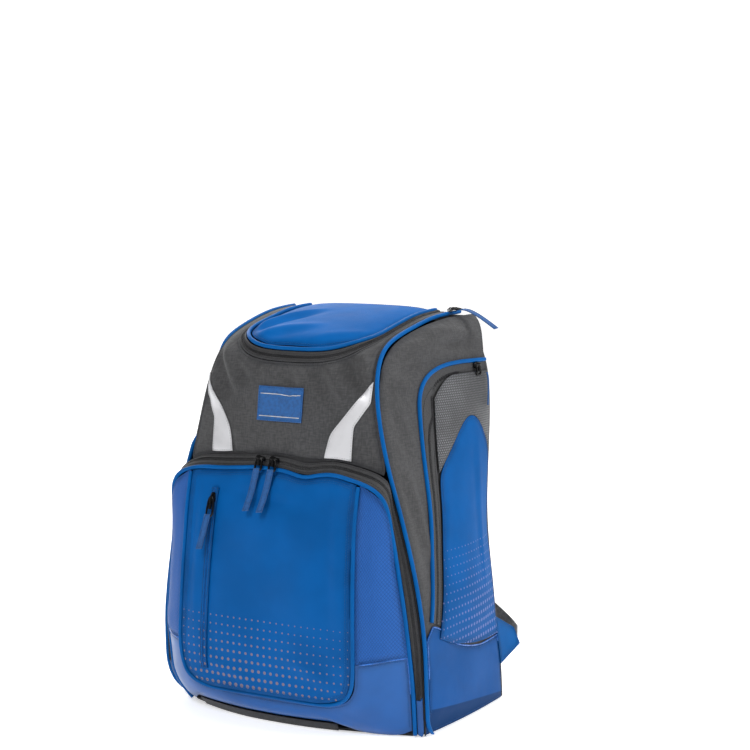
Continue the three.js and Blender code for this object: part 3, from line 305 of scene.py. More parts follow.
def heather_group():
    """Mottled yarn: short streaks of lighter and darker thread in both directions."""
    group, start, end = new_group(
        "heather_yarn",
        [("Place", VECTOR, None), ("Dark", COLOR, None), ("Light", COLOR, None), ("Pitch", FLOAT, 0.001)],
        [("Color", COLOR), ("Tone", FLOAT)])
    w = Wiring(group)
    x, y, _ = w.split(start.outputs["Place"])
    fine = w.math("DIVIDE", 0.5, start.outputs["Pitch"])
    long_x = w.join(w.times(x, w.times(fine, 0.22)), w.times(y, fine))
    long_y = w.join(w.times(x, fine), w.times(y, w.times(fine, 0.22)), 7.0)
    streak = w.plus(w.noise(long_x, 1.0, 1.0), w.noise(long_y, 1.0, 1.0))
    cloud = w.noise(start.outputs["Place"], 18.0, 3.0)
    clouded = w.times(w.math("SUBTRACT", cloud, 0.5), 0.35)
    tone = w.plus(w.times(streak, 0.5), clouded)
    share = w.ramp(tone, 0.34, 0.68)
    w.put(end.inputs["Color"], w.blend(share, start.outputs["Dark"], start.outputs["Light"]))
    w.put(end.inputs["Tone"], share)
    return group


def dots_group():
    """Rows of staggered dots; Size is the dot's radius as a share of the pitch."""
    group, start, end = new_group(
        "dot_rows", [("Place", VECTOR, None), ("Pitch", VECTOR, (0.01, 0.01, 1.0)), ("Size", FLOAT, 0.3),
                     ("Stagger", FLOAT, 0.5), ("Soft", FLOAT, 0.03)],
        [("Mask", FLOAT), ("Dome", FLOAT)])
    w = Wiring(group)
    scaled = w.vector("DIVIDE", start.outputs["Place"], start.outputs["Pitch"])
    x, y, _ = w.split(scaled)
    row = w.math("FLOOR", y)
    odd = w.math("MODULO", w.math("ABSOLUTE", row), 2.0)
    shifted = w.plus(x, w.times(odd, start.outputs["Stagger"]))
    px, py, _ = w.split(start.outputs["Pitch"])
    dx = w.math("SUBTRACT", w.math("FRACT", shifted), 0.5)
    dy = w.times(w.math("SUBTRACT", w.math("FRACT", y), 0.5), w.math("DIVIDE", py, px))
    away = w.vector("LENGTH", w.join(dx, dy))
    inside = w.math("SUBTRACT", start.outputs["Size"], away)
    soft = start.outputs["Soft"]
    w.put(end.inputs["Mask"], w.ramp(inside, w.times(soft, -1.0), soft))
    dome = w.math("SUBTRACT", 1.0, w.math("DIVIDE", away, w.math("MAXIMUM", start.outputs["Size"], 0.01)))
    w.put(end.inputs["Dome"], w.math("MAXIMUM", dome, 0.0))
    return group


def honeycomb_group():
    """Raised diamond cells with sunk lines between them."""
    group, start, end = new_group(
        "diamond_cells", [("Place", VECTOR, None), ("Pitch", FLOAT, 0.004)],
        [("Height", FLOAT), ("Line", FLOAT)])
    w = Wiring(group)
    x, y, _ = w.split(start.outputs["Place"])
    turn = w.math("DIVIDE", math.pi, start.outputs["Pitch"])
    up = w.times(w.plus(x, w.times(y, 0.62)), turn)
    down = w.times(w.math("SUBTRACT", x, w.times(y, 0.62)), turn)
    first = w.math("ABSOLUTE", w.math("SINE", up))
    second = w.math("ABSOLUTE", w.math("SINE", down))
    cell = w.math("MINIMUM", first, second)
    w.put(end.inputs["Height"], w.math("POWER", cell, 0.5))
    w.put(end.inputs["Line"], w.ramp(cell, 0.05, 0.4, 1.0, 0.0))
    return group


def wear_group():
    """Painted shade beside seams in noisy patches, and faint dust; Edge is 1 at a seam and 0 inside the
    panel.
    """
    group, start, end = new_group(
        "seam_wear",
        [("Color", COLOR, None), ("Edge", FLOAT, 0.0), ("Place", VECTOR, None), ("Amount", FLOAT, 0.2)],
        [("Color", COLOR), ("Rough", FLOAT)])
    w = Wiring(group)
    patch = w.noise(start.outputs["Place"], 60.0, 4.0, 0.6)
    shaded = w.times(w.times(start.outputs["Edge"], patch), start.outputs["Amount"])
    # Painted shade: the colour darkens towards SEAM_SHADE beside seams, in noisy patches.
    dark = w.blend(shaded, start.outputs["Color"], SEAM_SHADE)
    smudge = w.ramp(w.noise(start.outputs["Place"], 9.0, 3.0), 0.45, 0.8, 0.0, 0.02)
    w.put(end.inputs["Color"], w.blend(smudge, dark, DUST))
    w.put(end.inputs["Rough"], w.times(patch, 0.12))
    return group


def build_groups():
    GROUPS.update(
        weave=weave_group(), grain=grain_group(), heather=heather_group(), dots=dots_group(),
        cells=honeycomb_group(), wear=wear_group())


# Materials.
MATERIALS = {}
FRONT, SIDE, TOP = "front", "side", "top"


def place_on(w, view):
    """Flat coordinates, in metres, on the panel seen from the front, the side or the top."""
    coords = w.node("ShaderNodeTexCoord").outputs["Object"]
    x, y, z = w.split(coords)
    pair = {FRONT: (x, z), SIDE: (y, z), TOP: (x, y)}[view]
    return w.join(*pair), coords


def start_material(name):
    material = bpy.data.materials.new(name)
    material.use_nodes = True
    tree = material.node_tree
    shader = tree.nodes["Principled BSDF"]
    return material, Wiring(tree), shader


def edge_mask(w):
    return w.node("ShaderNodeAttribute", attribute_name="seam_near").outputs["Fac"]


def bump(w, shader, height, distance, strength):
    made = w.node("ShaderNodeBump")
    made.inputs["Strength"].default_value = strength
    made.inputs["Distance"].default_value = distance
    w.put(made.inputs["Height"], height)
    w.put(shader.inputs["Normal"], made.outputs[0])


def seam_shaded_finish(w, shader, place, base, amount, rough, **constants):
    """Base colour and roughness with painted shade beside seams and faint dust, and the shader's constants.
    """
    wear = w.use(GROUPS["wear"], Color=base, Edge=edge_mask(w), Place=place, Amount=amount)
    w.put(shader.inputs["Base Color"], wear["Color"])
    w.put(shader.inputs["Roughness"], w.plus(wear["Rough"], rough))
    for key, value in constants.items():
        shader.inputs[key.replace("_", " ")].default_value = value


def rgba(colour):
    return (colour[0], colour[1], colour[2], 1.0)


def shade(colour, factor):
    return tuple(clamp(part * factor) for part in colour[:3]) + (1.0,)


def coated_cloth(name, colour, view=FRONT, rough=0.48, coat=0.0, dots=None, grain=1400.0, depth=0.00012,
                 specular=0.08, foot=False):
    """Soft coated cloth with a pebbled grain; where given, printed dots, and painted shade on the turned-in
    foot below a crease.
    """
    material, w, shader = start_material(name)
    flat, place = place_on(w, view)
    grain_out = w.use(GROUPS["grain"], Place=place, Scale=grain)
    tone = w.ramp(grain_out["Tone"], 0.3, 0.7)
    base = w.blend(tone, shade(colour, 0.90), shade(colour, 1.10))
    # Painted shade beside seams, and faint dust.
    wear = w.use(GROUPS["wear"], Color=base, Edge=edge_mask(w), Place=place, Amount=0.55)
    colour_out = wear["Color"]
    rough_out = w.plus(wear["Rough"], rough)
    if dots:
        mask = dots(w, flat)
        colour_out = w.blend(mask, colour_out, dots.colour)
        rough_out = w.plus(rough_out, w.times(mask, -0.08))
    # Painted shade: below the slanting crease the colour falls to half, standing for the shade on the
    # turned-in foot.
    if foot:
        back, up, _ = w.split(flat)
        above = w.plus(up, w.times(back, CREASE_FALL))
        turned = w.ramp(above, CREASE_MIDDLE - 0.0016, CREASE_MIDDLE + 0.0006, 1.0, 0.0)
        colour_out = w.blend(turned, colour_out, shade(colour, 0.5))
    w.put(shader.inputs["Base Color"], colour_out)
    w.put(shader.inputs["Roughness"], rough_out)
    shader.inputs["Coat Weight"].default_value = coat
    shader.inputs["Coat Roughness"].default_value = 0.22
    shader.inputs["Specular IOR Level"].default_value = specular
    bump(w, shader, grain_out["Height"], depth, 0.7)
    MATERIALS[name] = material
    return material


class PrintedDots:
    """Rows of dots that grow downwards from a sharp first row, printed in one colour."""

    def __init__(self, colour, pitch, top, fade, middle, reach, size, first=0.45, stagger=0.0):
        self.colour = rgba(colour)
        self.pitch = pitch
        self.top = top
        self.fade = fade
        self.middle = middle
        self.reach = reach
        self.size = size
        self.first = first
        self.stagger = stagger

    def __call__(self, w, flat):
        x, y, _ = w.split(flat)
        fall = w.ramp(y, self.top - self.fade, self.top, 1.0, self.first)
        aside = w.math("ABSOLUTE", w.math("SUBTRACT", x, self.middle))
        near = w.ramp(aside, 0.0, self.reach, 1.0, 0.5)
        size = w.times(w.times(fall, near), self.size)
        cut = w.math("LESS_THAN", y, self.top)
        out = w.use(GROUPS["dots"], Place=flat, Pitch=(self.pitch[0], self.pitch[1], 1.0), Size=size,
                    Stagger=self.stagger, Soft=0.035)
        return w.times(out["Mask"], w.times(cut, 0.82))


def heather_cloth(name, colour, view=FRONT, pitch=0.0009):
    """Mottled woven cloth with a faint sheen."""
    material, w, shader = start_material(name)
    flat, place = place_on(w, view)
    dark = shade(colour, 0.80)
    light = shade(colour, 1.24)
    yarn = w.use(GROUPS["heather"], Place=flat, Dark=dark, Light=light, Pitch=pitch)
    weave = w.use(GROUPS["weave"], Place=flat, Pitch=pitch, Slant=0.0)
    gap = w.blend(w.times(weave["Gap"], 0.45), yarn["Color"], shade(colour, 0.35))
    sheen = {"Sheen_Weight": 0.10, "Sheen_Roughness": 0.5}
    seam_shaded_finish(w, shader, place, gap, 0.7, 0.72, Specular_IOR_Level=0.2, **sheen)
    bump(w, shader, weave["Height"], 0.00022, 0.55)
    MATERIALS[name] = material
    return material


def woven_tape(name, colour, view=FRONT, pitch=0.0009, rough=0.62, slant=0.6):
    """Close twill of tapes, ribbons and webbing."""
    material, w, shader = start_material(name)
    flat, place = place_on(w, view)
    weave = w.use(GROUPS["weave"], Place=flat, Pitch=pitch, Slant=slant)
    mottled = w.ramp(w.noise(place, 260.0, 2.0), 0.3, 0.7)
    base = w.blend(mottled, shade(colour, 0.84), shade(colour, 1.18))
    base = w.blend(w.times(weave["Gap"], 0.5), base, shade(colour, 0.4))
    seam_shaded_finish(w, shader, place, base, 0.4, rough, Sheen_Weight=0.12)
    bump(w, shader, weave["Height"], 0.0002, 0.6)
    MATERIALS[name] = material
    return material


def cell_cloth(name, colour, view=FRONT, pitch=0.0029):
    """Cloth embossed with small diamonds."""
    material, w, shader = start_material(name)
    flat, place = place_on(w, view)
    cells = w.use(GROUPS["cells"], Place=flat, Pitch=pitch)
    weave = w.use(GROUPS["weave"], Place=flat, Pitch=0.0009, Slant=0.0)
    base = w.blend(cells["Line"], shade(colour, 1.12), shade(colour, 0.62))
    base = w.blend(w.times(weave["Gap"], 0.3), base, shade(colour, 0.6))
    seam_shaded_finish(w, shader, place, base, 0.5, 0.5, Specular_IOR_Level=0.12, Sheen_Weight=0.08)
    height = w.plus(cells["Height"], w.times(weave["Height"], 0.12))
    bump(w, shader, height, 0.0005, 0.75)
    MATERIALS[name] = material
    return material


def mesh_cloth(name, colour, view=SIDE):
    """Rubbery mesh: raised dots painted light as highlights on a dark ground."""
    material, w, shader = start_material(name)
    flat, place = place_on(w, view)
    dots = w.use(GROUPS["dots"], Place=flat, Pitch=(0.0032, 0.0029, 1.0), Size=0.34, Stagger=0.5, Soft=0.08)
    broad = w.ramp(w.noise(place, 22.0, 2.0), 0.35, 0.65)
    # Painted highlight: the raised dots are coloured 2.6 to 4.6 times the ground colour, as if lit.
    lit = w.blend(broad, shade(colour, 2.6), shade(colour, 4.6))
    base = w.blend(dots["Mask"], shade(colour, 0.8), lit)
    seam_shaded_finish(w, shader, place, base, 0.6, 0.42)
    bump(w, shader, dots["Dome"], 0.0008, 0.9)
    MATERIALS[name] = material
    return material


def gloss_part(name, colour, rough):
    """Moulded or plated trim with fine handling marks."""
    material, w, shader = start_material(name)
    place = w.node("ShaderNodeTexCoord").outputs["Object"]
    marks = w.noise(place, 420.0, 3.0, 0.6)
    base = w.blend(w.ramp(w.noise(place, 90.0), 0.35, 0.7), shade(colour, 0.8), shade(colour, 1.3))
    w.put(shader.inputs["Base Color"], base)
    w.put(shader.inputs["Roughness"], w.ramp(marks, 0.3, 0.75, rough * 0.8, rough * 1.5))
    shader.inputs["Specular IOR Level"].default_value = 0.3
    bump(w, shader, marks, 0.00006, 0.35)
    MATERIALS[name] = material
    return material


def silver_cloth(name, colour, view=FRONT):
    """Reflective strip: tiny beads with faint scuffs."""
    material, w, shader = start_material(name)
    flat, place = place_on(w, view)
    beads = w.use(GROUPS["dots"], Place=flat, Pitch=(0.0011, 0.001, 1.0), Size=0.4, Stagger=0.5, Soft=0.1)
    scuff = w.ramp(w.noise(place, 34.0, 4.0), 0.4, 0.75)
    base = w.blend(scuff, shade(colour, 1.1), shade(colour, 0.86))
    base = w.blend(w.times(beads["Mask"], 0.22), base, shade(colour, 1.3))
    seam_shaded_finish(w, shader, place, base, 0.25, 0.36, Metallic=0.35)
    bump(w, shader, beads["Dome"], 0.0001, 0.5)
    MATERIALS[name] = material
    return material


def make_materials(colours):
    build_groups()
    blue = tuple(colours.coated)
    face_dots = PrintedDots(colours.print_dots, (0.0088, 0.0104), 0.1352, 0.095, -0.030, 0.16, 0.27)
    side_dots = PrintedDots((0.16, 0.19, 0.42), (0.0082, 0.0098), 0.2156, 0.105, 0.060, 0.13, 0.27)
    coated_cloth("face_blue", blue, FRONT, 0.47, dots=face_dots)
    # Painted light: the tongues take the coated blue at 0.95 and the lid at 1.1, shaded side and lit top
    # copies of one cloth.
    coated_cloth("tongue_blue", shade(blue, 0.95), SIDE, 0.55, dots=side_dots)
    coated_cloth("lid_blue", shade(blue, 1.1), TOP, 0.58, specular=0.05)
    glossy = {"grain": 500.0, "depth": 0.00004}
    coated_cloth("wrap_blue", tuple(colours.glossy), FRONT, 0.30, coat=0.14, specular=0.2, **glossy)
    # Painted shade: the side wraps take the glossy blue at 0.8, a shaded copy of the front wrap's colour.
    shaded_side_gloss = shade(colours.glossy, 0.80)
    coated_cloth("side_wrap_blue", shaded_side_gloss, SIDE, 0.46, specular=0.04, foot=True, **glossy)
    coated_cloth("piping_blue", tuple(colours.piping), FRONT, 0.42, grain=1800.0, depth=0.00005)
    coated_cloth("anchor_blue", tuple(colours.piping), SIDE, 0.5)
    for name, view in (("front_grey", FRONT), ("side_grey", SIDE)):
        heather_cloth(name, tuple(colours.heather), view)
    ribbon = shade(colours.piping, 0.85)
    for row in (
            ("tape_dark", tuple(colours.tape), FRONT), ("side_tape_dark", tuple(colours.tape), SIDE),
            ("back_black", tuple(colours.back), FRONT, 0.0014, 0.8, 0.0),
            ("inside_black", tuple(colours.back), SIDE, 0.0014, 0.85, 0.0),
            ("base_black", tuple(colours.back), TOP, 0.0016, 0.8, 0.0),
            ("ribbon_blue", ribbon, FRONT, 0.0008, 0.5, 0.4),
            ("side_ribbon_blue", ribbon, SIDE, 0.0008, 0.5, 0.4),
            ("label_blue", shade(colours.piping, 0.9), FRONT, 0.0008, 0.45, 0.2),
            ("webbing_grey", (0.25, 0.25, 0.255), SIDE, 0.0017, 0.65, 1.0)):
        woven_tape(*row)
    cell_cloth("wedge_blue", tuple(colours.textured))
    mesh_cloth("mesh_dark", (0.036, 0.037, 0.040))
    silver_cloth("strip_silver", tuple(colours.silver))
    for row in (
            ("slider_black", (0.0025, 0.0025, 0.003), 0.16), ("buckle_black", (0.012, 0.012, 0.013), 0.38),
            ("thread_dark", (0.02, 0.02, 0.022), 0.55), ("thread_blue", shade(colours.piping, 0.75), 0.5),
            ("thread_silver", (0.45, 0.46, 0.48), 0.4), ("coil_dark", (0.016, 0.016, 0.018), 0.42),
            # The hem's blue is paler than the wraps' blue: a painted highlight along their upper edge.
            ("hem_blue", (0.030, 0.130, 0.44), 0.26), ("coil_blue", (0.0, 0.060, 0.240), 0.42)):
        gloss_part(*row)


# Mesh helpers.
def finish_piece(name, mesh, material, replaced=(), sharp=40.0):
    """Makes a piece that rides on the bag, takes one material and may stand for CAD nodes."""
    mesh.materials.clear()
    mesh.materials.append(MATERIALS[material])
    mesh.shade_smooth()
    mesh.set_sharp_from_angle(angle=math.radians(sharp))
    piece = bpy.data.objects.new(name, mesh)
    bpy.context.scene.collection.objects.link(piece)
    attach(piece, BODY)
    if replaced:
        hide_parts(*replaced)
    return piece


def mesh_of(bm, name):
    mesh = bpy.data.meshes.new(name)
    bm.to_mesh(mesh)
    bm.free()
    return mesh


def add_mesh(bm, mesh):
    """Adds a mesh to a bmesh and removes it."""
    bm.from_mesh(mesh)
    bpy.data.meshes.remove(mesh)


def subdivided(node, levels, crease_angle):
    """Copy of a CAD node's mesh as a smooth surface whose sharp edges stay where they are."""
    bm = bmesh.new()
    bm.from_mesh(NODES[node].data)
    bmesh.ops.remove_doubles(bm, verts=bm.verts, dist=WELD)
    crease = bm.edges.layers.float.get("crease_edge") or bm.edges.layers.float.new("crease_edge")
    limit = math.radians(crease_angle)
    for edge in bm.edges:
        edge[crease] = 1.0 if edge.calc_face_angle(0.0) > limit else 0.0
    flat = [face for face in bm.faces if len(face.verts) == 3]
    bmesh.ops.join_triangles(
        bm, faces=flat, angle_face_threshold=math.radians(35), angle_shape_threshold=math.radians(80))
    mesh = mesh_of(bm, node + "_copy")
    holder = bpy.data.objects.new(node + "_holder", mesh)
    bpy.context.scene.collection.objects.link(holder)
    smooth = holder.modifiers.new("smooth", "SUBSURF")
    smooth.levels = levels
    smooth.render_levels = levels
    smooth.boundary_smooth = "PRESERVE_CORNERS"
    graph = bpy.context.evaluated_depsgraph_get()
    result = bpy.data.meshes.new_from_object(holder.evaluated_get(graph))
    bpy.data.objects.remove(holder)
    bpy.data.meshes.remove(mesh)
    return result


def lean_of_cloth(node, point):
    """Where loose cloth leaves its pattern: the sagging pocket rim, tucked seams and sloping joins."""
    shift = Vector()
    if point.y < -0.100 and point.z > 0.24:
        rim = 0.311
        near = bell(point.z - rim, 0.028)
        dip = -0.0056 * bell(point.x - 0.044, 0.020) + 0.0016 * bell(point.x - 0.088, 0.018)
        dip += -0.0022 * bell(point.x + 0.075, 0.030) + 0.0012 * bell(point.x + 0.020, 0.016)
        shift.z += near * dip
    if node in ("pocket_wedge_right", "pocket_wrap") and point.x > 0.122:
        slope = smooth_step(0.126, 0.172, point.x)
        shift.z += (0.0085 * slope - 0.001) * bell(point.z - 0.074, 0.026)
    if node.startswith("pocket_wedge"):
        side = math.copysign(1.0, point.x)
        high = smooth_step(0.258, 0.296, point.z) * (1.0 - smooth_step(0.128, 0.160, abs(point.x)))
        shift.x += side * 0.055 * (abs(point.x) - 0.150)
        shift.x -= side * 0.0070 * high
        shift.z += 0.004 * high
        shoulder = smooth_step(0.200, 0.262, point.z) * smooth_step(0.132, 0.158, abs(point.x))
        shift += Vector((side * 0.0046, 0.0, 0.0036)) * shoulder
    if node.startswith("seam_piping"):
        shift.y += 0.012 * (max(0.0, 0.022 - point.z) / 0.022) ** 2
    if node == "seam_piping_left":
        tucked = smooth_step(0.325, 0.350, point.z) * (1.0 - smooth_step(0.430, 0.470, point.z))
        shift += Vector((0.0042, 0.0050, 0.0)) * tucked
    if node.startswith("side_wrap") or node.startswith("side_panel"):
        height = CREASE_MIDDLE - CREASE_FALL * point.y
        low = max(0.0, height - point.z) / height
        ends = smooth_step(-0.106, -0.092, point.y)
        shift.x -= math.copysign(0.42 * height, point.x) * low * ends
    if node == "front_panel":
        corner = smooth_step(0.138, 0.166, point.x)
        shift.z -= (0.0016 + 0.0060 * corner) * (1.0 - smooth_step(0.318, 0.350, point.z))
    return shift


class Skin:
    """A smooth copy of a CAD panel that knows its outer face, that face's edge and each point's inset."""

    def __init__(self, node, levels=COARSE, heart=HEART, cut=None):
        self.node = node
        self.heart = heart
        self.mesh = subdivided(node, levels, SKIN_CREASE)
        self.bm = bmesh.new()
        self.bm.from_mesh(self.mesh)
        for vert in self.bm.verts:
            vert.co += lean_of_cloth(node, vert.co)
        if cut:
            self.cut_away(*cut)
        self.bm.normal_update()
        self.find_outer()

    def cut_away(self, point, direction):
        """Removes what lies past a point in a direction and closes the cut."""
        everything = self.bm.verts[:] + self.bm.edges[:] + self.bm.faces[:]
        bmesh.ops.bisect_plane(self.bm, geom=everything, plane_co=point, plane_no=direction, clear_outer=True)
        open_edges = [edge for edge in self.bm.edges if len(edge.link_faces) == 1]
        bmesh.ops.contextual_create(self.bm, geom=open_edges)
        for group in (self.bm.verts, self.bm.edges, self.bm.faces):
            group.index_update()
            group.ensure_lookup_table()

    def find_outer(self):
        bm = self.bm
        bm.faces.ensure_lookup_table()
        limit = math.radians(SKIN_CREASE)
        sharp = {edge.index for edge in bm.edges if edge.calc_face_angle(0.0) > limit}
        groups = self.smooth_groups(sharp)
        groups.sort(key=lambda group: -sum(face.calc_area() for face in group))
        best = None
        for group in groups[:2]:
            area = sum(face.calc_area() for face in group)
            facing = sum(
                face.calc_area() * face.normal.dot((face.calc_center_median() - self.heart).normalized())
                for face in group) / area
            if best is None or facing > best[0]:
                best = (facing, group)
        self.outer = best[1]
        inside = {face.index for face in self.outer}
        self.outer_verts = {vert for face in self.outer for vert in face.verts}
        rim = []
        for face in self.outer:
            for edge in face.edges:
                if sum(1 for other in edge.link_faces if other.index in inside) == 1:
                    rim.append(edge)
        self.loop = self.chain(rim)
        self.refresh()
        rim_verts = {vert for edge in rim for vert in edge.verts}
        sharp_verts = {vert for edge in bm.edges if edge.index in sharp for vert in edge.verts} | rim_verts
        self.near = KDTree(len(sharp_verts))
        for i, vert in enumerate(sharp_verts):
            self.near.insert(vert.co, i)
        self.near.balance()

    def smooth_groups(self, sharp):
        """Faces in groups that only sharp edges part."""
        seen = set()
        groups = []
        for first in self.bm.faces:
            if first.index in seen:
                continue
            stack = [first]
            seen.add(first.index)
            group = []
            while stack:
                face = stack.pop()
                group.append(face)
                for edge in face.edges:
                    if edge.index in sharp:
                        continue
                    for other in edge.link_faces:
                        if other.index not in seen:
                            seen.add(other.index)
                            stack.append(other)
            groups.append(group)
        return groups

    @staticmethod
    def chain(edges):
        """Orders edges into loops of points and gives the longest."""
        links = {}
        for edge in edges:
            a, b = edge.verts
            links.setdefault(a, []).append(b)
            links.setdefault(b, []).append(a)
        loops = []
        left = set(links)
        while left:
            start = min(left, key=lambda vert: vert.index)
            loop = [start]
            left.discard(start)
            at = start
            while True:
                following = [vert for vert in links[at] if vert in left]
                if not following:
                    break
                at = following[0]
                left.discard(at)
                loop.append(at)
            loops.append(loop)
        return max(loops, key=len)

    def inset(self, point):
        """Distance from a point to the panel's nearest edge."""
        return self.near.find(point)[2]

    def move(self, shape, fade=0.012, puff=0.0, puff_width=0.010):
        """Moves the panel along its outward normal by shape(point) plus a swell beside its edges."""
        shifts = {}
        before = [vert.co.copy() for vert in self.bm.verts]
        for vert in self.bm.verts:
            normal = vert.normal.copy()
            if normal.dot(vert.co - self.heart) < 0:
                normal.negate()
            away = self.inset(vert.co)
            amount = puff * smooth_step(0.0, puff_width, away)
            if shape is not None:
                amount += shape(vert.co) * smooth_step(0.0, fade, away)
            shifts[vert] = normal * amount
        for vert, shift in shifts.items():
            vert.co += shift
        self.bm.normal_update()
        self.refresh()
        self.remember(before)

    def remember(self, before):
        """Keeps where the panel's points were, and how far each went, for what is sewn on it."""
        self.moved = [vert.co - old for vert, old in zip(self.bm.verts, before)]
        self.old = KDTree(len(before))
        for i, point in enumerate(before):
            self.old.insert(point, i)
        self.old.balance()

    def follow(self, under):
        """Moves this piece with the panel it is sewn on."""
        for vert in self.bm.verts:
            total = Vector()
            weight = 0.0
            for _, i, away in under.old.find_n(vert.co, 6):
                share = 1.0 / (away + 0.0005)
                total += under.moved[i] * share
                weight += share
            vert.co += total / weight
        self.bm.normal_update()
        self.refresh()

    def refresh(self):
        self.tree = BVHTree.FromPolygons(
            [vert.co.copy() for vert in self.bm.verts],
            [[vert.index for vert in face.verts] for face in self.outer])

    def on_surface(self, point, lift=0.0):
        """Nearest point of the outer face and its normal."""
        place, normal, _, _ = self.tree.find_nearest(point)
        return place + normal * lift, normal

    def edge_points(self):
        return [vert.co.copy() for vert in self.loop]

    def write(self, name, material, slot, near_width=0.010):
        layer = self.bm.verts.layers.float.new("seam_near")
        for vert in self.bm.verts:
            vert[layer] = 1.0 - smooth_step(0.0, near_width, self.inset(vert.co))
        self.bm.to_mesh(self.mesh)
        return finish_piece(name, self.mesh, material, (self.node,))


def corners_of(points, count=4, reach=3):
    """Places of the sharpest turns of a closed loop, in order."""
    total = len(points)
    turns = []
    for i in range(total):
        before = (points[i] - points[(i - reach) % total]).normalized()
        after = (points[(i + reach) % total] - points[i]).normalized()
        turns.append((before.angle(after, 0.0), i))
    turns.sort(reverse=True)
    chosen = []
    for _, i in turns:
        if all(min((i - j) % total, (j - i) % total) > reach for j in chosen):
            chosen.append(i)
        if len(chosen) == count:
            break
    return sorted(chosen)


def long_sides(points):
    """The two long edges of a band's loop, as lists that run the same way."""
    total = len(points)
    marks = corners_of(points)
    runs = []
    for i, start in enumerate(marks):
        end = marks[(i + 1) % len(marks)]
        length = (end - start) % total
        runs.append([points[(start + k) % total] for k in range(length + 1)])
    pairs = (runs[0], runs[2]), (runs[1], runs[3])
    first, second = max(pairs, key=lambda pair: run_length(pair[0]) + run_length(pair[1]))
    return first, list(reversed(second))


def run_length(points):
    return sum((b - a).length for a, b in zip(points, points[1:]))


def resampled(points, count):
    """Even points along a polyline."""
    steps = [0.0]
    for a, b in zip(points, points[1:]):
        steps.append(steps[-1] + (b - a).length)
    total = steps[-1]
    out = []
    at = 0
    for i in range(count + 1):
        want = total * i / count
        while at < len(points) - 2 and steps[at + 1] < want:
            at += 1
        span = steps[at + 1] - steps[at]
        share = 0.0 if span == 0 else (want - steps[at]) / span
        out.append(points[at].lerp(points[at + 1], clamp(share)))
    return out


def between(first, second, share, spacing=0.004):
    """Line at a share of the way from one long edge of a band to the other."""
    count = max(8, int(run_length(first) / spacing))
    return [a.lerp(b, share) for a, b in zip(resampled(first, count), resampled(second, count))]


def inset_loop(skin, distance):
    """The panel's edge moved inwards over its surface, as a closed run."""
    points = skin.edge_points()
    total = len(points)
    out = []
    for i, point in enumerate(points):
        before = points[(i - 1) % total]
        after = points[(i + 1) % total]
        run = (after - before).normalized()
        _, normal = skin.on_surface(point)
        inward = normal.cross(run).normalized()
        for sign in (1.0, -1.0):
            tried = point + inward * sign * distance
            place, _ = skin.on_surface(tried)
            if (place - tried).length < distance * 0.5 and skin.inset(place) > distance * 0.86:
                out.append(place)
                break
    if out:
        out.append(out[0].copy())
    return out


def capsule(bm, middle, along, up, length, radius, flat=1.0, sides=6):
    """Short thread or bead: a rod with blunt tips, lying on a surface."""
    across = along.cross(up).normalized()
    up = across.cross(along).normalized()
    rings = []
    for place, size in ((-0.5, 0.45), (-0.34, 1.0), (0.34, 1.0), (0.5, 0.45)):
        ring = []
        for k in range(sides):
            turn = 2 * math.pi * k / sides
            offset = across * (math.cos(turn) * radius * size) + up * (math.sin(turn) * radius * size * flat)
            ring.append(bm.verts.new(middle + along * (length * place) + offset))
        rings.append(ring)
    for near, far in zip(rings, rings[1:]):
        for k in range(sides):
            bm.faces.new((near[k], near[(k + 1) % sides], far[(k + 1) % sides], far[k]))
    bm.faces.new(list(reversed(rings[0])))
    bm.faces.new(rings[-1])


def along_path(points, pitch):
    """Even places along a polyline with its direction."""
    count = max(1, int(run_length(points) / pitch))
    even = resampled(points, count)
    for i in range(count):
        yield (even[i] + even[i + 1]) / 2, (even[i + 1] - even[i]).normalized()


def sewing(name, runs, skin, material, cloth):
    """Rows of stitches that lie on a panel along each run."""
    bm = bmesh.new()
    for points in runs:
        if len(points) < 2:
            continue
        for middle, run in along_path(points, cloth.stitch_pitch):
            place, normal = skin.on_surface(middle, cloth.thread * THREAD_LIFT)
            capsule(bm, place, run, normal, cloth.stitch_length, cloth.thread)
    return finish_piece(name, mesh_of(bm, name), material)


def coil(name, points, skin, cloth, width=0.0042, radius=0.0006, material="coil_dark"):
    """A zip's coil: short bars across the tape, two by two."""
    bm = bmesh.new()
    for middle, run in along_path(points, cloth.coil_pitch):
        place, normal = skin.on_surface(middle, radius * 0.5)
        across = run.cross(normal).normalized()
        for side in (-1.0, 1.0):
            middle = place + across * (side * width * 0.27)
            along = (across + run * 0.25 * side).normalized()
            capsule(bm, middle, along, normal, width * 0.5, radius, sides=5)
    return finish_piece(name, mesh_of(bm, name), material)


def rod_mesh(points, radius, closed=False, sides=8):
    """Round rod along points."""
    bm = bmesh.new()
    up = Vector((0, 0, 1))
    rings = []
    total = len(points)
    for i, point in enumerate(points):
        before = points[(i - 1) % total] if closed or i > 0 else point
        after = points[(i + 1) % total] if closed or i < total - 1 else point
        run = (after - before).normalized()
        across = run.cross(up)
        if across.length < 1e-4:
            across = run.cross(Vector((1, 0, 0)))
        across.normalize()
        normal = across.cross(run).normalized()
        ring = []
        for k in range(sides):
            turn = 2 * math.pi * k / sides
            place = point + across * (math.cos(turn) * radius)
            ring.append(bm.verts.new(place + normal * (math.sin(turn) * radius)))
        rings.append(ring)
    pairs = list(zip(rings, rings[1:]))
    if closed:
        pairs.append((rings[-1], rings[0]))
    for near, far in pairs:
        for k in range(sides):
            bm.faces.new((near[k], near[(k + 1) % sides], far[(k + 1) % sides], far[k]))
    if not closed:
        bm.faces.new(list(reversed(rings[0])))
        bm.faces.new(rings[-1])
    bmesh.ops.recalc_face_normals(bm, faces=bm.faces)
    return mesh_of(bm, "rod")


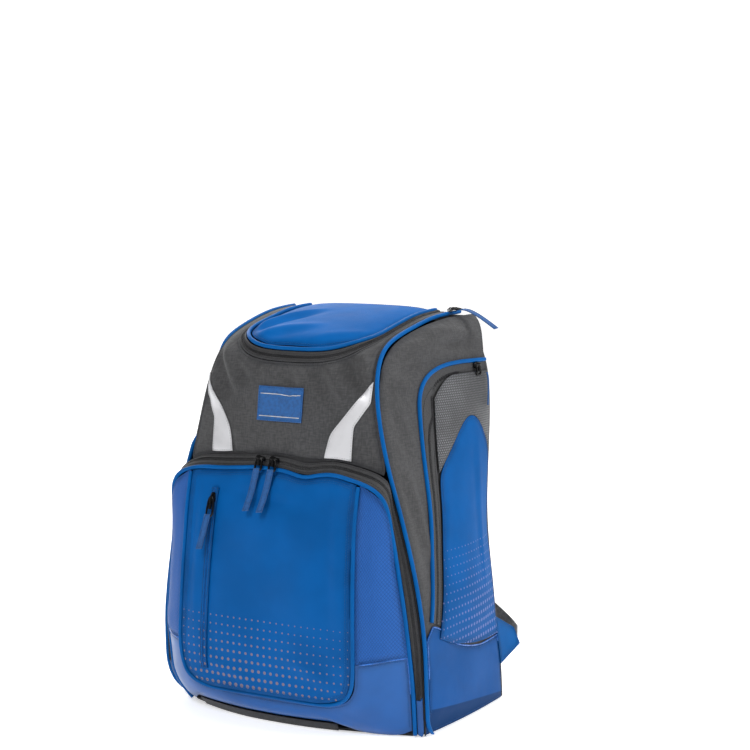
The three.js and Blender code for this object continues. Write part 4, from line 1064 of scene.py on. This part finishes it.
class Fold:
    """A soft ridge with a valley beside it, between two places of a panel seen flat."""

    def __init__(self, start, end, width, height, lean=0.8, fade=0.35):
        self.start = Vector(start) * MM
        self.run = Vector(end) * MM - self.start
        self.long = self.run.length
        self.run.normalize()
        self.width = width * MM
        self.height = height * MM
        self.lean = lean
        self.fade = fade

    def __call__(self, x, y):
        offset = Vector((x, y)) - self.start
        along = offset.dot(self.run) / self.long
        if along < -0.3 or along > 1.3:
            return 0.0
        aside = offset.x * self.run.y - offset.y * self.run.x
        ends = smooth_step(-0.3, self.fade - 0.1, along) * (1.0 - smooth_step(1.0 - self.fade, 1.3, along))
        ridge = bell(aside, self.width)
        valley = bell(aside - self.width * 1.5, self.width * 1.1)
        return self.height * ends * (ridge - self.lean * valley)


def folds(rows, amount):
    made = [Fold(*row) for row in rows]

    def height(x, y):
        return amount * sum(fold(x, y) for fold in made)
    return height


def ripple(point, size, depth):
    """Gentle unevenness of cloth, the same on every run."""
    return depth * noise.noise(Vector((point.x, point.y, point.z)) / size)


def crumple(rows, amount, depth=0.0006, size=0.05, view=FRONT):
    """Shape function: listed folds plus gentle unevenness."""
    height = folds(rows, amount)

    def shape(point):
        x, y = {FRONT: (point.x, point.z), SIDE: (point.y, point.z), TOP: (point.x, point.y)}[view]
        return height(x, y) + ripple(point, size, depth * amount)
    return shape


def piping(name, node):
    """Round piping with the fine creases of cloth pulled over a cord."""
    cloth = bpy.context.scene.bag_cloth
    mesh = subdivided(node, COARSE, 80.0)
    bm = bmesh.new()
    bm.from_mesh(mesh)
    bm.normal_update()
    for vert in bm.verts:
        crease = noise.noise(vert.co * 220.0) * 0.00012
        vert.co += vert.normal * (cloth.piping_round + crease)
    for vert in bm.verts:
        vert.co += lean_of_cloth(node, vert.co)
    bm.to_mesh(mesh)
    bm.free()
    return finish_piece(name, mesh, "piping_blue", (node,), 50.0)


# Folds seen from the front (x, z) or the side (y, z), in mm: start, end, width, height.
LID_FOLDS = [
    ((-86, -70), (-34, 6), 10.0, 4.6), ((-64, -88), (10, -60), 10.0, 2.6), ((30, -92), (90, -60), 9.0, 1.6)]
FRONT_FOLDS = [
    ((-98, 446), (-66, 404), 9.5, 8.0), ((-76, 446), (-44, 424), 9.0, 6.0),
    ((-118, 424), (-100, 384), 9.0, 6.0), ((16, 440), (30, 412), 9.0, 5.6), ((54, 444), (84, 396), 9.5, 6.6),
    ((92, 452), (120, 414), 8.5, 6.6), ((-20, 440), (-30, 418), 8.0, 3.4), ((-60, 352), (-50, 322), 8.0, 2.4),
    ((30, 350), (44, 318), 9.0, 2.4)]
SIDE_FOLDS = [
    ((-78, 450), (60, 470), 8.0, 5.0), ((-66, 436), (30, 453), 8.5, 4.0), ((-20, 478), (84, 462), 7.5, 3.2),
    ((-86, 424), (-50, 410), 8.0, 3.0), ((-80, 300), (-62, 200), 8.0, 2.4),
    ((-74, 390), (-58, 330), 7.0, 2.0)]
FACE_FOLDS = [
    ((-96, 278), (-102, 110), 8.0, 2.6), ((98, 286), (106, 130), 10.0, 2.6),
    ((-40, 292), (40, 282), 9.0, 2.2), ((40, 90), (100, 60), 10.0, 1.8), ((-84, 74), (-20, 58), 9.0, 1.6)]
WEDGE_FOLDS = [((140, 250), (150, 150), 8.0, 1.2), ((150, 120), (160, 80), 8.0, 1.0)]
TONGUE_FOLDS = [
    ((-8, 290), (-40, 190), 9.0, 1.3), ((66, 320), (70, 170), 8.0, 1.2), ((0, 120), (66, 112), 8.0, 0.9)]


def mirrored(rows):
    return [((-a[0], a[1]), (-b[0], b[1]), width, height, -0.8) for a, b, width, height in rows]


def hem(name, skin, keep, radius=0.0009):
    """Rolled hem along those parts of a panel's edge that keep() picks; it catches light, and its paler
    colour is a painted highlight on that edge.
    """
    bm = bmesh.new()
    points = skin.edge_points()
    runs = [[]]
    for point in points + points[:1]:
        if keep(point):
            runs[-1].append(point)
        elif runs[-1]:
            runs.append([])
    for run in runs:
        if len(run) < 4:
            continue
        even = resampled(run, max(8, int(run_length(run) / 0.004)))
        path = [skin.on_surface(point, radius * 0.4)[0] for point in even]
        add_mesh(bm, rod_mesh(path, radius))
    return finish_piece(name, mesh_of(bm, name), "hem_blue")


class BACKPACK_OT_lid(bpy.types.Operator):
    """Lid, its zip band and the piping round it"""
    bl_idname = "backpack.lid"
    bl_label = "Lid"

    def execute(self, context):
        cloth = context.scene.bag_cloth
        lid = Skin("lid_panel", FINE, Vector((0.0, 0.0, 0.40)))
        lid.move(crumple(LID_FOLDS, cloth.fold_depth, 0.0009, 0.06, TOP), 0.016, cloth.puff)
        rim = inset_loop(lid, 0.0032)
        sewing("lid_stitches", [rim], lid, "thread_blue", cloth)
        lid.write("lid_cover", "lid_blue", "blue_coated")
        band = Skin("lid_zip_band")
        band.move(crumple([], cloth.fold_depth, 0.0005, 0.04), 0.003, 0.0)
        first, second = long_sides(band.edge_points())
        coil("lid_zip_coil", between(first, second, 0.52), band, cloth, 0.0036)
        rows = [between(first, second, share) for share in (0.22, 0.80)]
        sewing("lid_band_stitches", rows, band, "thread_dark", cloth)
        band.write("lid_zip_tape", "tape_dark", "dark_tape", near_width=0.004)
        piping("lid_edge_piping", "lid_piping")
        return {"FINISHED"}


class BACKPACK_OT_front(bpy.types.Operator):
    """Grey front with its label and reflective strips"""
    bl_idname = "backpack.front"
    bl_label = "Front"

    def execute(self, context):
        cloth = context.scene.bag_cloth
        front = Skin("front_panel", FINE)
        front.move(crumple(FRONT_FOLDS, cloth.fold_depth, 0.0008, 0.05), 0.014, cloth.puff)
        sewing("front_stitches", [inset_loop(front, SEAM_INSET)], front, "thread_dark", cloth)
        front.write("front_cloth", "front_grey", "grey_cloth")
        for side in SIDES:
            strip = Skin("reflective_strip_" + side)
            strip.follow(front)
            rows = [inset_loop(strip, 0.0016)]
            sewing("strip_stitches_" + side, rows, strip, "thread_silver", cloth)
            strip.write("silver_strip_" + side, "strip_silver", "silver_strip", near_width=0.003)
        label = Skin("label_patch")
        label.follow(front)
        self.label_lines(label)
        sewing("label_stitches", [inset_loop(label, 0.0018)], label, "thread_blue", cloth)
        label.write("woven_label", "label_blue", "blue_woven", near_width=0.003)
        NODES["front_wall"].material_slots[0].material = MATERIALS["inside_black"]
        return {"FINISHED"}

    @staticmethod
    def label_lines(label):
        bm = bmesh.new()
        for height in (0.4005, 0.3735):
            points = [Vector((x * MM, -0.135, height)) for x in range(-28, 31, 2)]
            for middle, run in along_path(points, 0.0011):
                place, normal = label.on_surface(middle, 0.0003)
                capsule(bm, place, run, normal, 0.0014, 0.0005, 0.5)
        finish_piece("label_lines", mesh_of(bm, "label_lines"), "thread_silver")


class BACKPACK_OT_front_pocket(bpy.types.Operator):
    """Front pocket: face, sides, zip band, glossy foot and the small zip"""
    bl_idname = "backpack.front_pocket"
    bl_label = "Front pocket"

    def execute(self, context):
        cloth = context.scene.bag_cloth
        face = Skin("pocket_face", FINE)
        face.move(crumple(FACE_FOLDS, cloth.fold_depth, 0.0009, 0.055), 0.012, cloth.puff)
        rows = [inset_loop(face, 0.0036), inset_loop(face, 0.0062)]
        sewing("face_stitches", rows, face, "thread_blue", cloth)
        face.write("pocket_front", "face_blue", "blue_coated")
        for side in SIDES:
            creases = WEDGE_FOLDS if side == "right" else mirrored(WEDGE_FOLDS)
            wedge = Skin("pocket_wedge_" + side, FINE)
            wedge.move(crumple(creases, cloth.fold_depth, 0.0008, 0.05), 0.010, cloth.puff)
            rows = [inset_loop(wedge, SEAM_INSET)]
            sewing("wedge_stitches_" + side, rows, wedge, "thread_blue", cloth)
            wedge.write("pocket_side_" + side, "wedge_blue", "blue_woven")
            corner = Skin("corner_wrap_" + side)
            corner.move(crumple([], cloth.fold_depth, 0.0005, 0.03), 0.006, 0.0005)
            corner.write("shiny_corner_" + side, "wrap_blue", "blue_glossy")
        wrap = Skin("pocket_wrap")
        wrap.move(crumple([], cloth.fold_depth, 0.0009, 0.045), 0.010, 0.0008)
        sewing("wrap_stitches", [inset_loop(wrap, SEAM_INSET)], wrap, "thread_blue", cloth)
        hem("pocket_foot_hem", wrap, lambda point: point.z > 0.050 and abs(point.x) > 0.128)
        wrap.write("shiny_pocket_foot", "wrap_blue", "blue_glossy")
        strip = Skin("base_front_strip")
        strip.follow(wrap)
        strip.write("foot_strip", "tape_dark", "dark_tape", near_width=0.003)
        band = Skin("pocket_zip_band")
        band.move(crumple([], cloth.fold_depth, 0.0006, 0.04), 0.003, 0.0)
        first, second = long_sides(band.edge_points())
        coil("pocket_zip_coil", between(first, second, 0.5), band, cloth)
        rows = [between(first, second, share) for share in (0.16, 0.84)]
        sewing("pocket_band_stitches", rows, band, "thread_dark", cloth)
        band.write("pocket_zip_tape", "tape_dark", "dark_tape", near_width=0.004)
        piping("pocket_edge_piping", "pocket_piping")
        piping("face_edge_piping", "face_piping")
        self.small_zip(cloth, face)
        return {"FINISHED"}

    @staticmethod
    def small_zip(cloth, face):
        tape = Skin("face_zip_tape")
        tape.follow(face)
        first, second = long_sides(tape.edge_points())
        middle = between(first, second, 0.5)
        coil("small_zip_coil", middle, tape, cloth, 0.0030, 0.00045, "coil_blue")
        rows = [between(first, second, share) for share in (0.14, 0.86)]
        sewing("small_zip_stitches", rows, tape, "thread_dark", cloth)
        tape.write("small_zip_frame", "face_blue", "blue_coated", near_width=0.003)


class BACKPACK_OT_side_panels(bpy.types.Operator):
    """Grey sides and the shiny wraps at their feet"""
    bl_idname = "backpack.side_panels"
    bl_label = "Side panels"

    def execute(self, context):
        cloth = context.scene.bag_cloth
        for side in SIDES:
            panel = Skin("side_panel_" + side, FINE)
            panel.move(crumple(SIDE_FOLDS, cloth.fold_depth, 0.0009, 0.05, SIDE), 0.014, cloth.puff)
            panel.write("side_cloth_" + side, "side_grey", "grey_cloth")
            wrap = Skin("side_wrap_" + side)
            wrap.move(crumple([], cloth.fold_depth, 0.0009, 0.045, SIDE), 0.010, 0.0008)
            rows = [inset_loop(wrap, SEAM_INSET)]
            sewing("side_wrap_stitches_" + side, rows, wrap, "thread_blue", cloth)
            hem("side_foot_hem_" + side, wrap, lambda point: point.z > 0.070)
            wrap.write("shiny_side_foot_" + side, "side_wrap_blue", "blue_glossy")
            piping("seam_edge_piping_" + side, "seam_piping_" + side)
        return {"FINISHED"}


class BACKPACK_OT_side_pockets(bpy.types.Operator):
    """Side pockets: piped arch, zip tape, mesh and blue tongue"""
    bl_idname = "backpack.side_pockets"
    bl_label = "Side pockets"

    def execute(self, context):
        cloth = context.scene.bag_cloth
        for side in SIDES:
            piping("arch_edge_piping_" + side, "arch_piping_" + side)
            tape = Skin("side_zip_tape_" + side)
            tape.move(crumple([], cloth.fold_depth, 0.0004, 0.04, SIDE), 0.003, 0.0)
            first, second = long_sides(tape.edge_points())
            coil("side_zip_coil_" + side, between(first, second, 0.5), tape, cloth)
            rows = [between(first, second, share) for share in (0.15, 0.85)]
            sewing("side_tape_stitches_" + side, rows, tape, "thread_dark", cloth)
            tape.write("side_tape_" + side, "side_tape_dark", "dark_tape", near_width=0.004)
            mesh = Skin("side_mesh_" + side)
            mesh.move(crumple([], cloth.fold_depth, 0.0008, 0.04, SIDE), 0.008, 0.0006)
            mesh.write("side_net_" + side, "mesh_dark", "dark_mesh", near_width=0.006)
            tongue = Skin("side_tongue_" + side, FINE)
            tongue.move(crumple(TONGUE_FOLDS, cloth.fold_depth, 0.0009, 0.05, SIDE), 0.012, 0.0009)
            rows = [inset_loop(tongue, 0.0032)]
            sewing("tongue_stitches_" + side, rows, tongue, "thread_blue", cloth)
            tongue.write("side_front_" + side, "tongue_blue", "blue_coated")
        return {"FINISHED"}


class BACKPACK_OT_back(bpy.types.Operator):
    """Padded back, inner walls and base"""
    bl_idname = "backpack.back"
    bl_label = "Back and base"

    def execute(self, context):
        cloth = context.scene.bag_cloth
        back = Skin("back_panel", FINE, Vector((0.0, 0.0, 0.24)))
        back.move(self.channels, 0.012, 0.0010)
        rows = [inset_loop(back, 0.0045)]
        sewing("back_stitches", rows, back, "thread_dark", cloth)
        pad = back.write("padded_back", "back_black", "black_cloth")
        for node, material in (("divider_panel", "inside_black"), ("base_panel", "base_black")):
            NODES[node].material_slots[0].material = MATERIALS[material]
        return {"FINISHED"}

    @staticmethod
    def channels(point):
        """Two sewn channels that part the pad into three cushions."""
        lines = (abs(point.x) - 0.040, point.z - 0.150, point.z - 0.330)
        groove = max(bell(away, CHANNEL_WIDTH) for away in lines)
        return -CHANNEL_DEPTH * groove + ripple(point, 0.07, 0.0005)


class BACKPACK_OT_straps(bpy.types.Operator):
    """Shoulder straps, their webbing, anchors and buckles, and the grab handle"""
    bl_idname = "backpack.straps"
    bl_label = "Straps and handle"

    def execute(self, context):
        cloth = context.scene.bag_cloth
        for side in SIDES:
            strap = Skin("shoulder_strap_" + side, COARSE, STRAP_HEART)
            strap.move(None, 0.006, 0.0010, 0.014)
            rows = [inset_loop(strap, 0.0050), inset_loop(strap, 0.0085)]
            sewing("strap_stitches_" + side, rows, strap, "thread_dark", cloth)
            pad = strap.write("padded_strap_" + side, "back_black", "black_cloth")
            anchor = Skin("strap_anchor_" + side)
            anchor.move(None, 0.002, 0.0)
            rows = [inset_loop(anchor, SEAM_INSET)]
            sewing("anchor_stitches_" + side, rows, anchor, "thread_blue", cloth)
            anchor.write("blue_anchor_" + side, "anchor_blue", "blue_coated")
            webbing = Skin("strap_webbing_" + side, COARSE, Vector((0.13, 0.12, 0.12)))
            webbing.write("grey_webbing_" + side, "webbing_grey", "grey_webbing", near_width=0.002)
            self.ladder_lock("ladder_lock_" + side, "strap_adjuster_" + side)
        handle = Skin("grab_handle", COARSE, STRAP_HEART)
        handle.move(None, 0.002, 0.0)
        rows = [inset_loop(handle, SEAM_INSET)]
        sewing("handle_stitches", rows, handle, "thread_dark", cloth)
        handle.write("webbing_handle", "back_black", "black_cloth")
        return {"FINISHED"}

    @staticmethod
    def ladder_lock(name, node):
        """Moulded buckle of four bars round two slots."""
        low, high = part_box(node)
        middle = (low + high) / 2
        size = high - low
        wide, deep, tall = size.x / 2, size.y / 2, size.z / 2
        bm = bmesh.new()
        bars = [(-tall * 0.86, 0.14), (-tall * 0.08, 0.12), (tall * 0.80, 0.20)]
        for place, share in bars:
            box_part(bm, middle + Vector((0, 0, place)), Vector((wide * 0.92, deep * 0.8, tall * share)))
        for sign in (-1.0, 1.0):
            box_part(bm, middle + Vector((sign * wide * 0.9, 0, 0)), Vector((wide * 0.1, deep, tall)))
        bmesh.ops.bevel(bm, geom=bm.edges[:], offset=0.0006, segments=2, affect="EDGES")
        return finish_piece(name, mesh_of(bm, name), "buckle_black", (node,))


def box_part(bm, middle, half):
    """Eight corners and six faces round a middle."""
    corners = [
        bm.verts.new(middle + Vector((half.x * sx, half.y * sy, half.z * sz)))
        for sx in (-1, 1) for sy in (-1, 1) for sz in (-1, 1)]
    for face in ((0, 1, 3, 2), (4, 6, 7, 5), (0, 4, 5, 1), (2, 3, 7, 6), (0, 2, 6, 4), (1, 5, 7, 3)):
        bm.faces.new([corners[i] for i in face])


class Axes:
    """Middle, directions and half sizes of a slider's solid."""

    def __init__(self, node, outward):
        points = [vert.co.copy() for vert in NODES[node].data.vertices]
        self.middle = sum(points, Vector()) / len(points)
        offsets = [point - self.middle for point in points]
        self.long = self.main_direction(offsets)
        flat = [offset - self.long * offset.dot(self.long) for offset in offsets]
        self.across = self.main_direction(flat)
        self.out = self.long.cross(self.across).normalized()
        if self.out.dot(outward) < 0:
            self.out.negate()
        self.across = self.out.cross(self.long).normalized()
        spans = []
        for axis in (self.long, self.across, self.out):
            reach = [offset.dot(axis) for offset in offsets]
            spans.append((min(reach), max(reach)))
        for axis, (low, high) in zip((self.long, self.across, self.out), spans):
            self.middle += axis * ((low + high) / 2)
        self.half = Vector([(high - low) / 2 for low, high in spans])

    @staticmethod
    def main_direction(offsets):
        direction = max(offsets, key=lambda offset: offset.length).normalized()
        for _ in range(60):
            total = Vector()
            for offset in offsets:
                total += offset * offset.dot(direction)
            if total.length < 1e-12:
                break
            direction = total.normalized()
        return direction

    def at(self, along, across, out):
        return (self.middle + self.long * (along * self.half.x) + self.across * (across * self.half.y)
                + self.out * (out * self.half.z))


class BACKPACK_OT_sliders(bpy.types.Operator):
    """Zip sliders and their ribbon pulls"""
    bl_idname = "backpack.sliders"
    bl_label = "Zip sliders and pulls"

    def execute(self, context):
        cloth = context.scene.bag_cloth
        front = Vector((0.0, -1.0, 0.2))
        down = Vector((0.0, 0.0, -1.0))
        rows = [
            ("pocket_slider_left", "pocket_pull_left", front, down, "ribbon_blue", 0.0150, 0.0115),
            ("pocket_slider_right", "pocket_pull_right", front, down, "ribbon_blue", 0.0150, 0.0115),
            ("face_slider", "face_pull", front, down, "ribbon_blue", 0.0235, 0.0200),
            ("slot_slider", "slot_pull", Vector((0, 0, 1)), Vector((1, 0, 0)), "ribbon_blue", 0.0110, 0.0075)]
        for side, sign in zip(SIDES, (1.0, -1.0)):
            outward = Vector((sign, 0.0, 0.1))
            names = ("side_slider_" + side, "side_pull_" + side)
            rows.append((*names, outward, down, "side_ribbon_blue", 0.0120, 0.0090))
        for slider, pull, outward, toward, material, reach, start in rows:
            self.slider(slider, outward, toward, reach)
            middle = Axes(slider, outward).middle
            ribbon = Skin(pull, COARSE, middle - outward * 0.05, (middle + toward * start, -toward))
            stitches = inset_loop(ribbon, 0.0016)
            if len(stitches) > 8:
                sewing(pull + "_stitches", [stitches], ribbon, "thread_blue", cloth)
            ribbon.write(pull + "_ribbon", material, "blue_piping", near_width=0.002)
        return {"FINISHED"}

    def slider(self, node, outward, toward, reach):
        axes = Axes(node, outward)
        bm = bmesh.new()
        half_outline = [
            (1.0, 0.30), (0.93, 0.62), (0.70, 0.94), (0.30, 1.0), (-0.25, 0.74), (-0.78, 0.62), (-1.0, 0.40)]
        for low, high in ((-1.0, -0.52), (-0.22, 0.25)):
            self.plate(bm, axes, half_outline, low, high)
        self.plate(bm, axes, [(0.55, 0.12), (0.2, 0.22), (-0.2, 0.1)], -0.55, -0.2)
        bmesh.ops.bevel(bm, geom=bm.edges[:], offset=0.00035, segments=2, affect="EDGES")
        half_arch = [(0.66, 0.15), (0.58, 0.66), (0.30, 0.96)]
        arch = half_arch + [(-along, out) for along, out in reversed(half_arch)]
        self.rod(bm, [axes.at(along, 0, out) for along, out in arch], 0.0009)
        bow_middle = axes.at(0.0, 0.0, 0.72)
        side = axes.out.cross(toward).normalized()
        down = (toward - axes.out * toward.dot(axes.out)).normalized()
        ring = []
        steps = 24
        for k in range(steps):
            turn = 2 * math.pi * k / steps
            wide = 0.0046 * math.copysign(abs(math.cos(turn)) ** 0.6, math.cos(turn))
            share = (math.copysign(abs(math.sin(turn)) ** 0.6, math.sin(turn)) + 1) / 2
            taper = mix(0.72, 1.12, share)
            place = bow_middle + side * (wide * taper) + down * (share * reach)
            ring.append(place - axes.out * (0.0006 * share))
        self.rod(bm, ring, 0.0013, True)
        clasp = [bow_middle + down * (reach * share) for share in (0.06, 0.30, 0.62)]
        self.rod(bm, clasp, 0.0019)
        bmesh.ops.recalc_face_normals(bm, faces=bm.faces)
        name = node + "_body"
        return finish_piece(name, mesh_of(bm, name), "slider_black", (node,), 50.0)

    @staticmethod
    def plate(bm, axes, outline, low, high):
        full = outline + [(along, -across) for along, across in reversed(outline)]
        under = [bm.verts.new(axes.at(along, across, low)) for along, across in full]
        over = [bm.verts.new(axes.at(along * 0.95, across * 0.93, high)) for along, across in full]
        count = len(full)
        bm.faces.new(list(reversed(under)))
        bm.faces.new(over)
        for k in range(count):
            bm.faces.new((under[k], under[(k + 1) % count], over[(k + 1) % count], over[k]))

    @staticmethod
    def rod(bm, points, radius, closed=False):
        even = resampled(points + points[:1], 40)[:-1] if closed else resampled(points, 24)
        add_mesh(bm, rod_mesh(even, radius, closed))


class BACKPACK_OT_stage(bpy.types.Operator):
    """Floor, lights and camera"""
    bl_idname = "backpack.stage"
    bl_label = "Floor, lights and camera"

    def execute(self, context):
        stage = context.scene.bag_stage
        self.floor(stage)
        self.lights(stage)
        self.camera(context, stage)
        return {"FINISHED"}

    @staticmethod
    def floor(stage):
        bm = bmesh.new()
        reach, lift, bend = 6.0, 5.0, 1.2
        profile = [(-reach, 0.0)] + [(y * 0.5, 0.0) for y in range(-11, 7)]
        profile += [(3.4 + bend * math.sin(t * math.pi / 20), bend * (1 - math.cos(t * math.pi / 20)))
                    for t in range(1, 11)]
        profile.append((3.4 + bend, lift))
        low = CAD_BOX[0].z - 0.0002
        columns = []
        for x in (-7.0, 7.0):
            columns.append([bm.verts.new((x, y, low + z)) for y, z in profile])
        for near, far in zip(range(len(profile) - 1), range(1, len(profile))):
            bm.faces.new((columns[0][near], columns[1][near], columns[1][far], columns[0][far]))
        mesh = mesh_of(bm, "floor")
        mesh.shade_smooth()
        material, w, shader = start_material("pale_floor")
        place = w.node("ShaderNodeTexCoord").outputs["Object"]
        soft = w.ramp(w.noise(place, 3.0, 2.0), 0.3, 0.7)
        tone = w.blend(soft, shade(stage.floor, 0.995), shade(stage.floor, 1.005))
        w.put(shader.inputs["Base Color"], tone)
        shader.inputs["Roughness"].default_value = 0.85
        shader.inputs["Emission Color"].default_value = (1.0, 1.0, 1.0, 1.0)
        shader.inputs["Emission Strength"].default_value = 0.55
        mesh.materials.append(material)
        sheet = bpy.data.objects.new("floor", mesh)
        bpy.context.scene.collection.objects.link(sheet)
        sheet.rotation_euler.z = stage.azimuth

    @staticmethod
    def light(name, place, target, size, power, colour=(1.0, 1.0, 1.0)):
        data = bpy.data.lights.new(name, "AREA")
        data.shape = "RECTANGLE"
        data.size, data.size_y = size
        data.energy = power
        data.color = colour
        lamp = bpy.data.objects.new(name, data)
        lamp.location = place
        lamp.rotation_euler = (Vector(target) - Vector(place)).to_track_quat("-Z", "Y").to_euler()
        bpy.context.scene.collection.objects.link(lamp)

    def lights(self, stage):
        turn = Matrix.Rotation(stage.azimuth, 3, "Z")
        target = (0.0, 0.0, 0.24)
        power = stage.key_light
        self.light("key_right", turn @ Vector((2.0, -0.7, 1.4)), target, (1.0, 1.2), power * 0.9)
        self.light("front_high", turn @ Vector((-0.9, -1.5, 1.9)), target, (0.7, 0.7), power * 0.75)
        self.light("top_soft", turn @ Vector((0.2, 0.5, 2.2)), target, (1.6, 1.4), power * 0.7)
        self.light("back_soft", turn @ Vector((-0.6, 2.4, 1.3)), target, (1.6, 1.6), power * 0.8)
        world = bpy.data.worlds.new("studio")
        world.use_nodes = True
        back = world.node_tree.nodes["Background"]
        back.inputs["Color"].default_value = (1.0, 1.0, 1.0, 1.0)
        w = Wiring(world.node_tree)
        seen = w.node("ShaderNodeLightPath").outputs["Is Camera Ray"]
        w.put(back.inputs["Strength"], w.plus(w.times(seen, 1.0 - ROOM_LIGHT), ROOM_LIGHT))
        bpy.context.scene.world = world

    @staticmethod
    def camera(context, stage):
        data = bpy.data.cameras.new("view")
        data.sensor_width = 36.0
        data.lens = stage.lens
        eye = bpy.data.objects.new("view", data)
        eye.location = (stage.distance * math.sin(stage.azimuth), -stage.distance * math.cos(stage.azimuth),
                        stage.height)
        turn = stage.azimuth + stage.turn
        ahead = Vector((-math.sin(turn), math.cos(turn), 0.0)) * math.cos(stage.dip)
        ahead.z = -math.sin(stage.dip)
        eye.rotation_euler = ahead.to_track_quat("-Z", "Y").to_euler()
        context.scene.collection.objects.link(eye)
        context.scene.camera = eye
        context.scene.view_settings.view_transform = "Standard"


class BACKPACK_PT_panel(bpy.types.Panel):
    """Lists the bag's pieces and settings"""
    bl_idname = "BACKPACK_PT_panel"
    bl_label = "Sports backpack"
    bl_space_type = "VIEW_3D"
    bl_region_type = "UI"
    bl_category = "Backpack"

    def draw(self, context):
        layout = self.layout
        for kind in PIECES:
            layout.operator(kind.bl_idname)
        for group in (context.scene.bag_cloth, context.scene.bag_colours, context.scene.bag_stage):
            box = layout.box()
            for key in group.bl_rna.properties.keys():
                if key not in ("rna_type", "name"):
                    box.prop(group, key)


GROUPS_OF_SETTINGS = (BagCloth, BagColours, BagStage)
PIECES = (
    BACKPACK_OT_stage, BACKPACK_OT_lid, BACKPACK_OT_front, BACKPACK_OT_front_pocket, BACKPACK_OT_side_panels,
    BACKPACK_OT_side_pockets, BACKPACK_OT_back, BACKPACK_OT_straps, BACKPACK_OT_sliders)


def register():
    for kind in GROUPS_OF_SETTINGS + PIECES + (BACKPACK_PT_panel,):
        bpy.utils.register_class(kind)
    bpy.types.Scene.bag_cloth = bpy.props.PointerProperty(type=BagCloth)
    bpy.types.Scene.bag_colours = bpy.props.PointerProperty(type=BagColours)
    bpy.types.Scene.bag_stage = bpy.props.PointerProperty(type=BagStage)


def unregister():
    del bpy.types.Scene.bag_stage
    del bpy.types.Scene.bag_colours
    del bpy.types.Scene.bag_cloth
    for kind in reversed(GROUPS_OF_SETTINGS + PIECES + (BACKPACK_PT_panel,)):
        bpy.utils.unregister_class(kind)


def main():
    register()
    make_materials(bpy.context.scene.bag_colours)
    for kind in PIECES:
        package, name = kind.bl_idname.split(".")
        getattr(getattr(bpy.ops, package), name)()


if __name__ == "__main__":
    main()
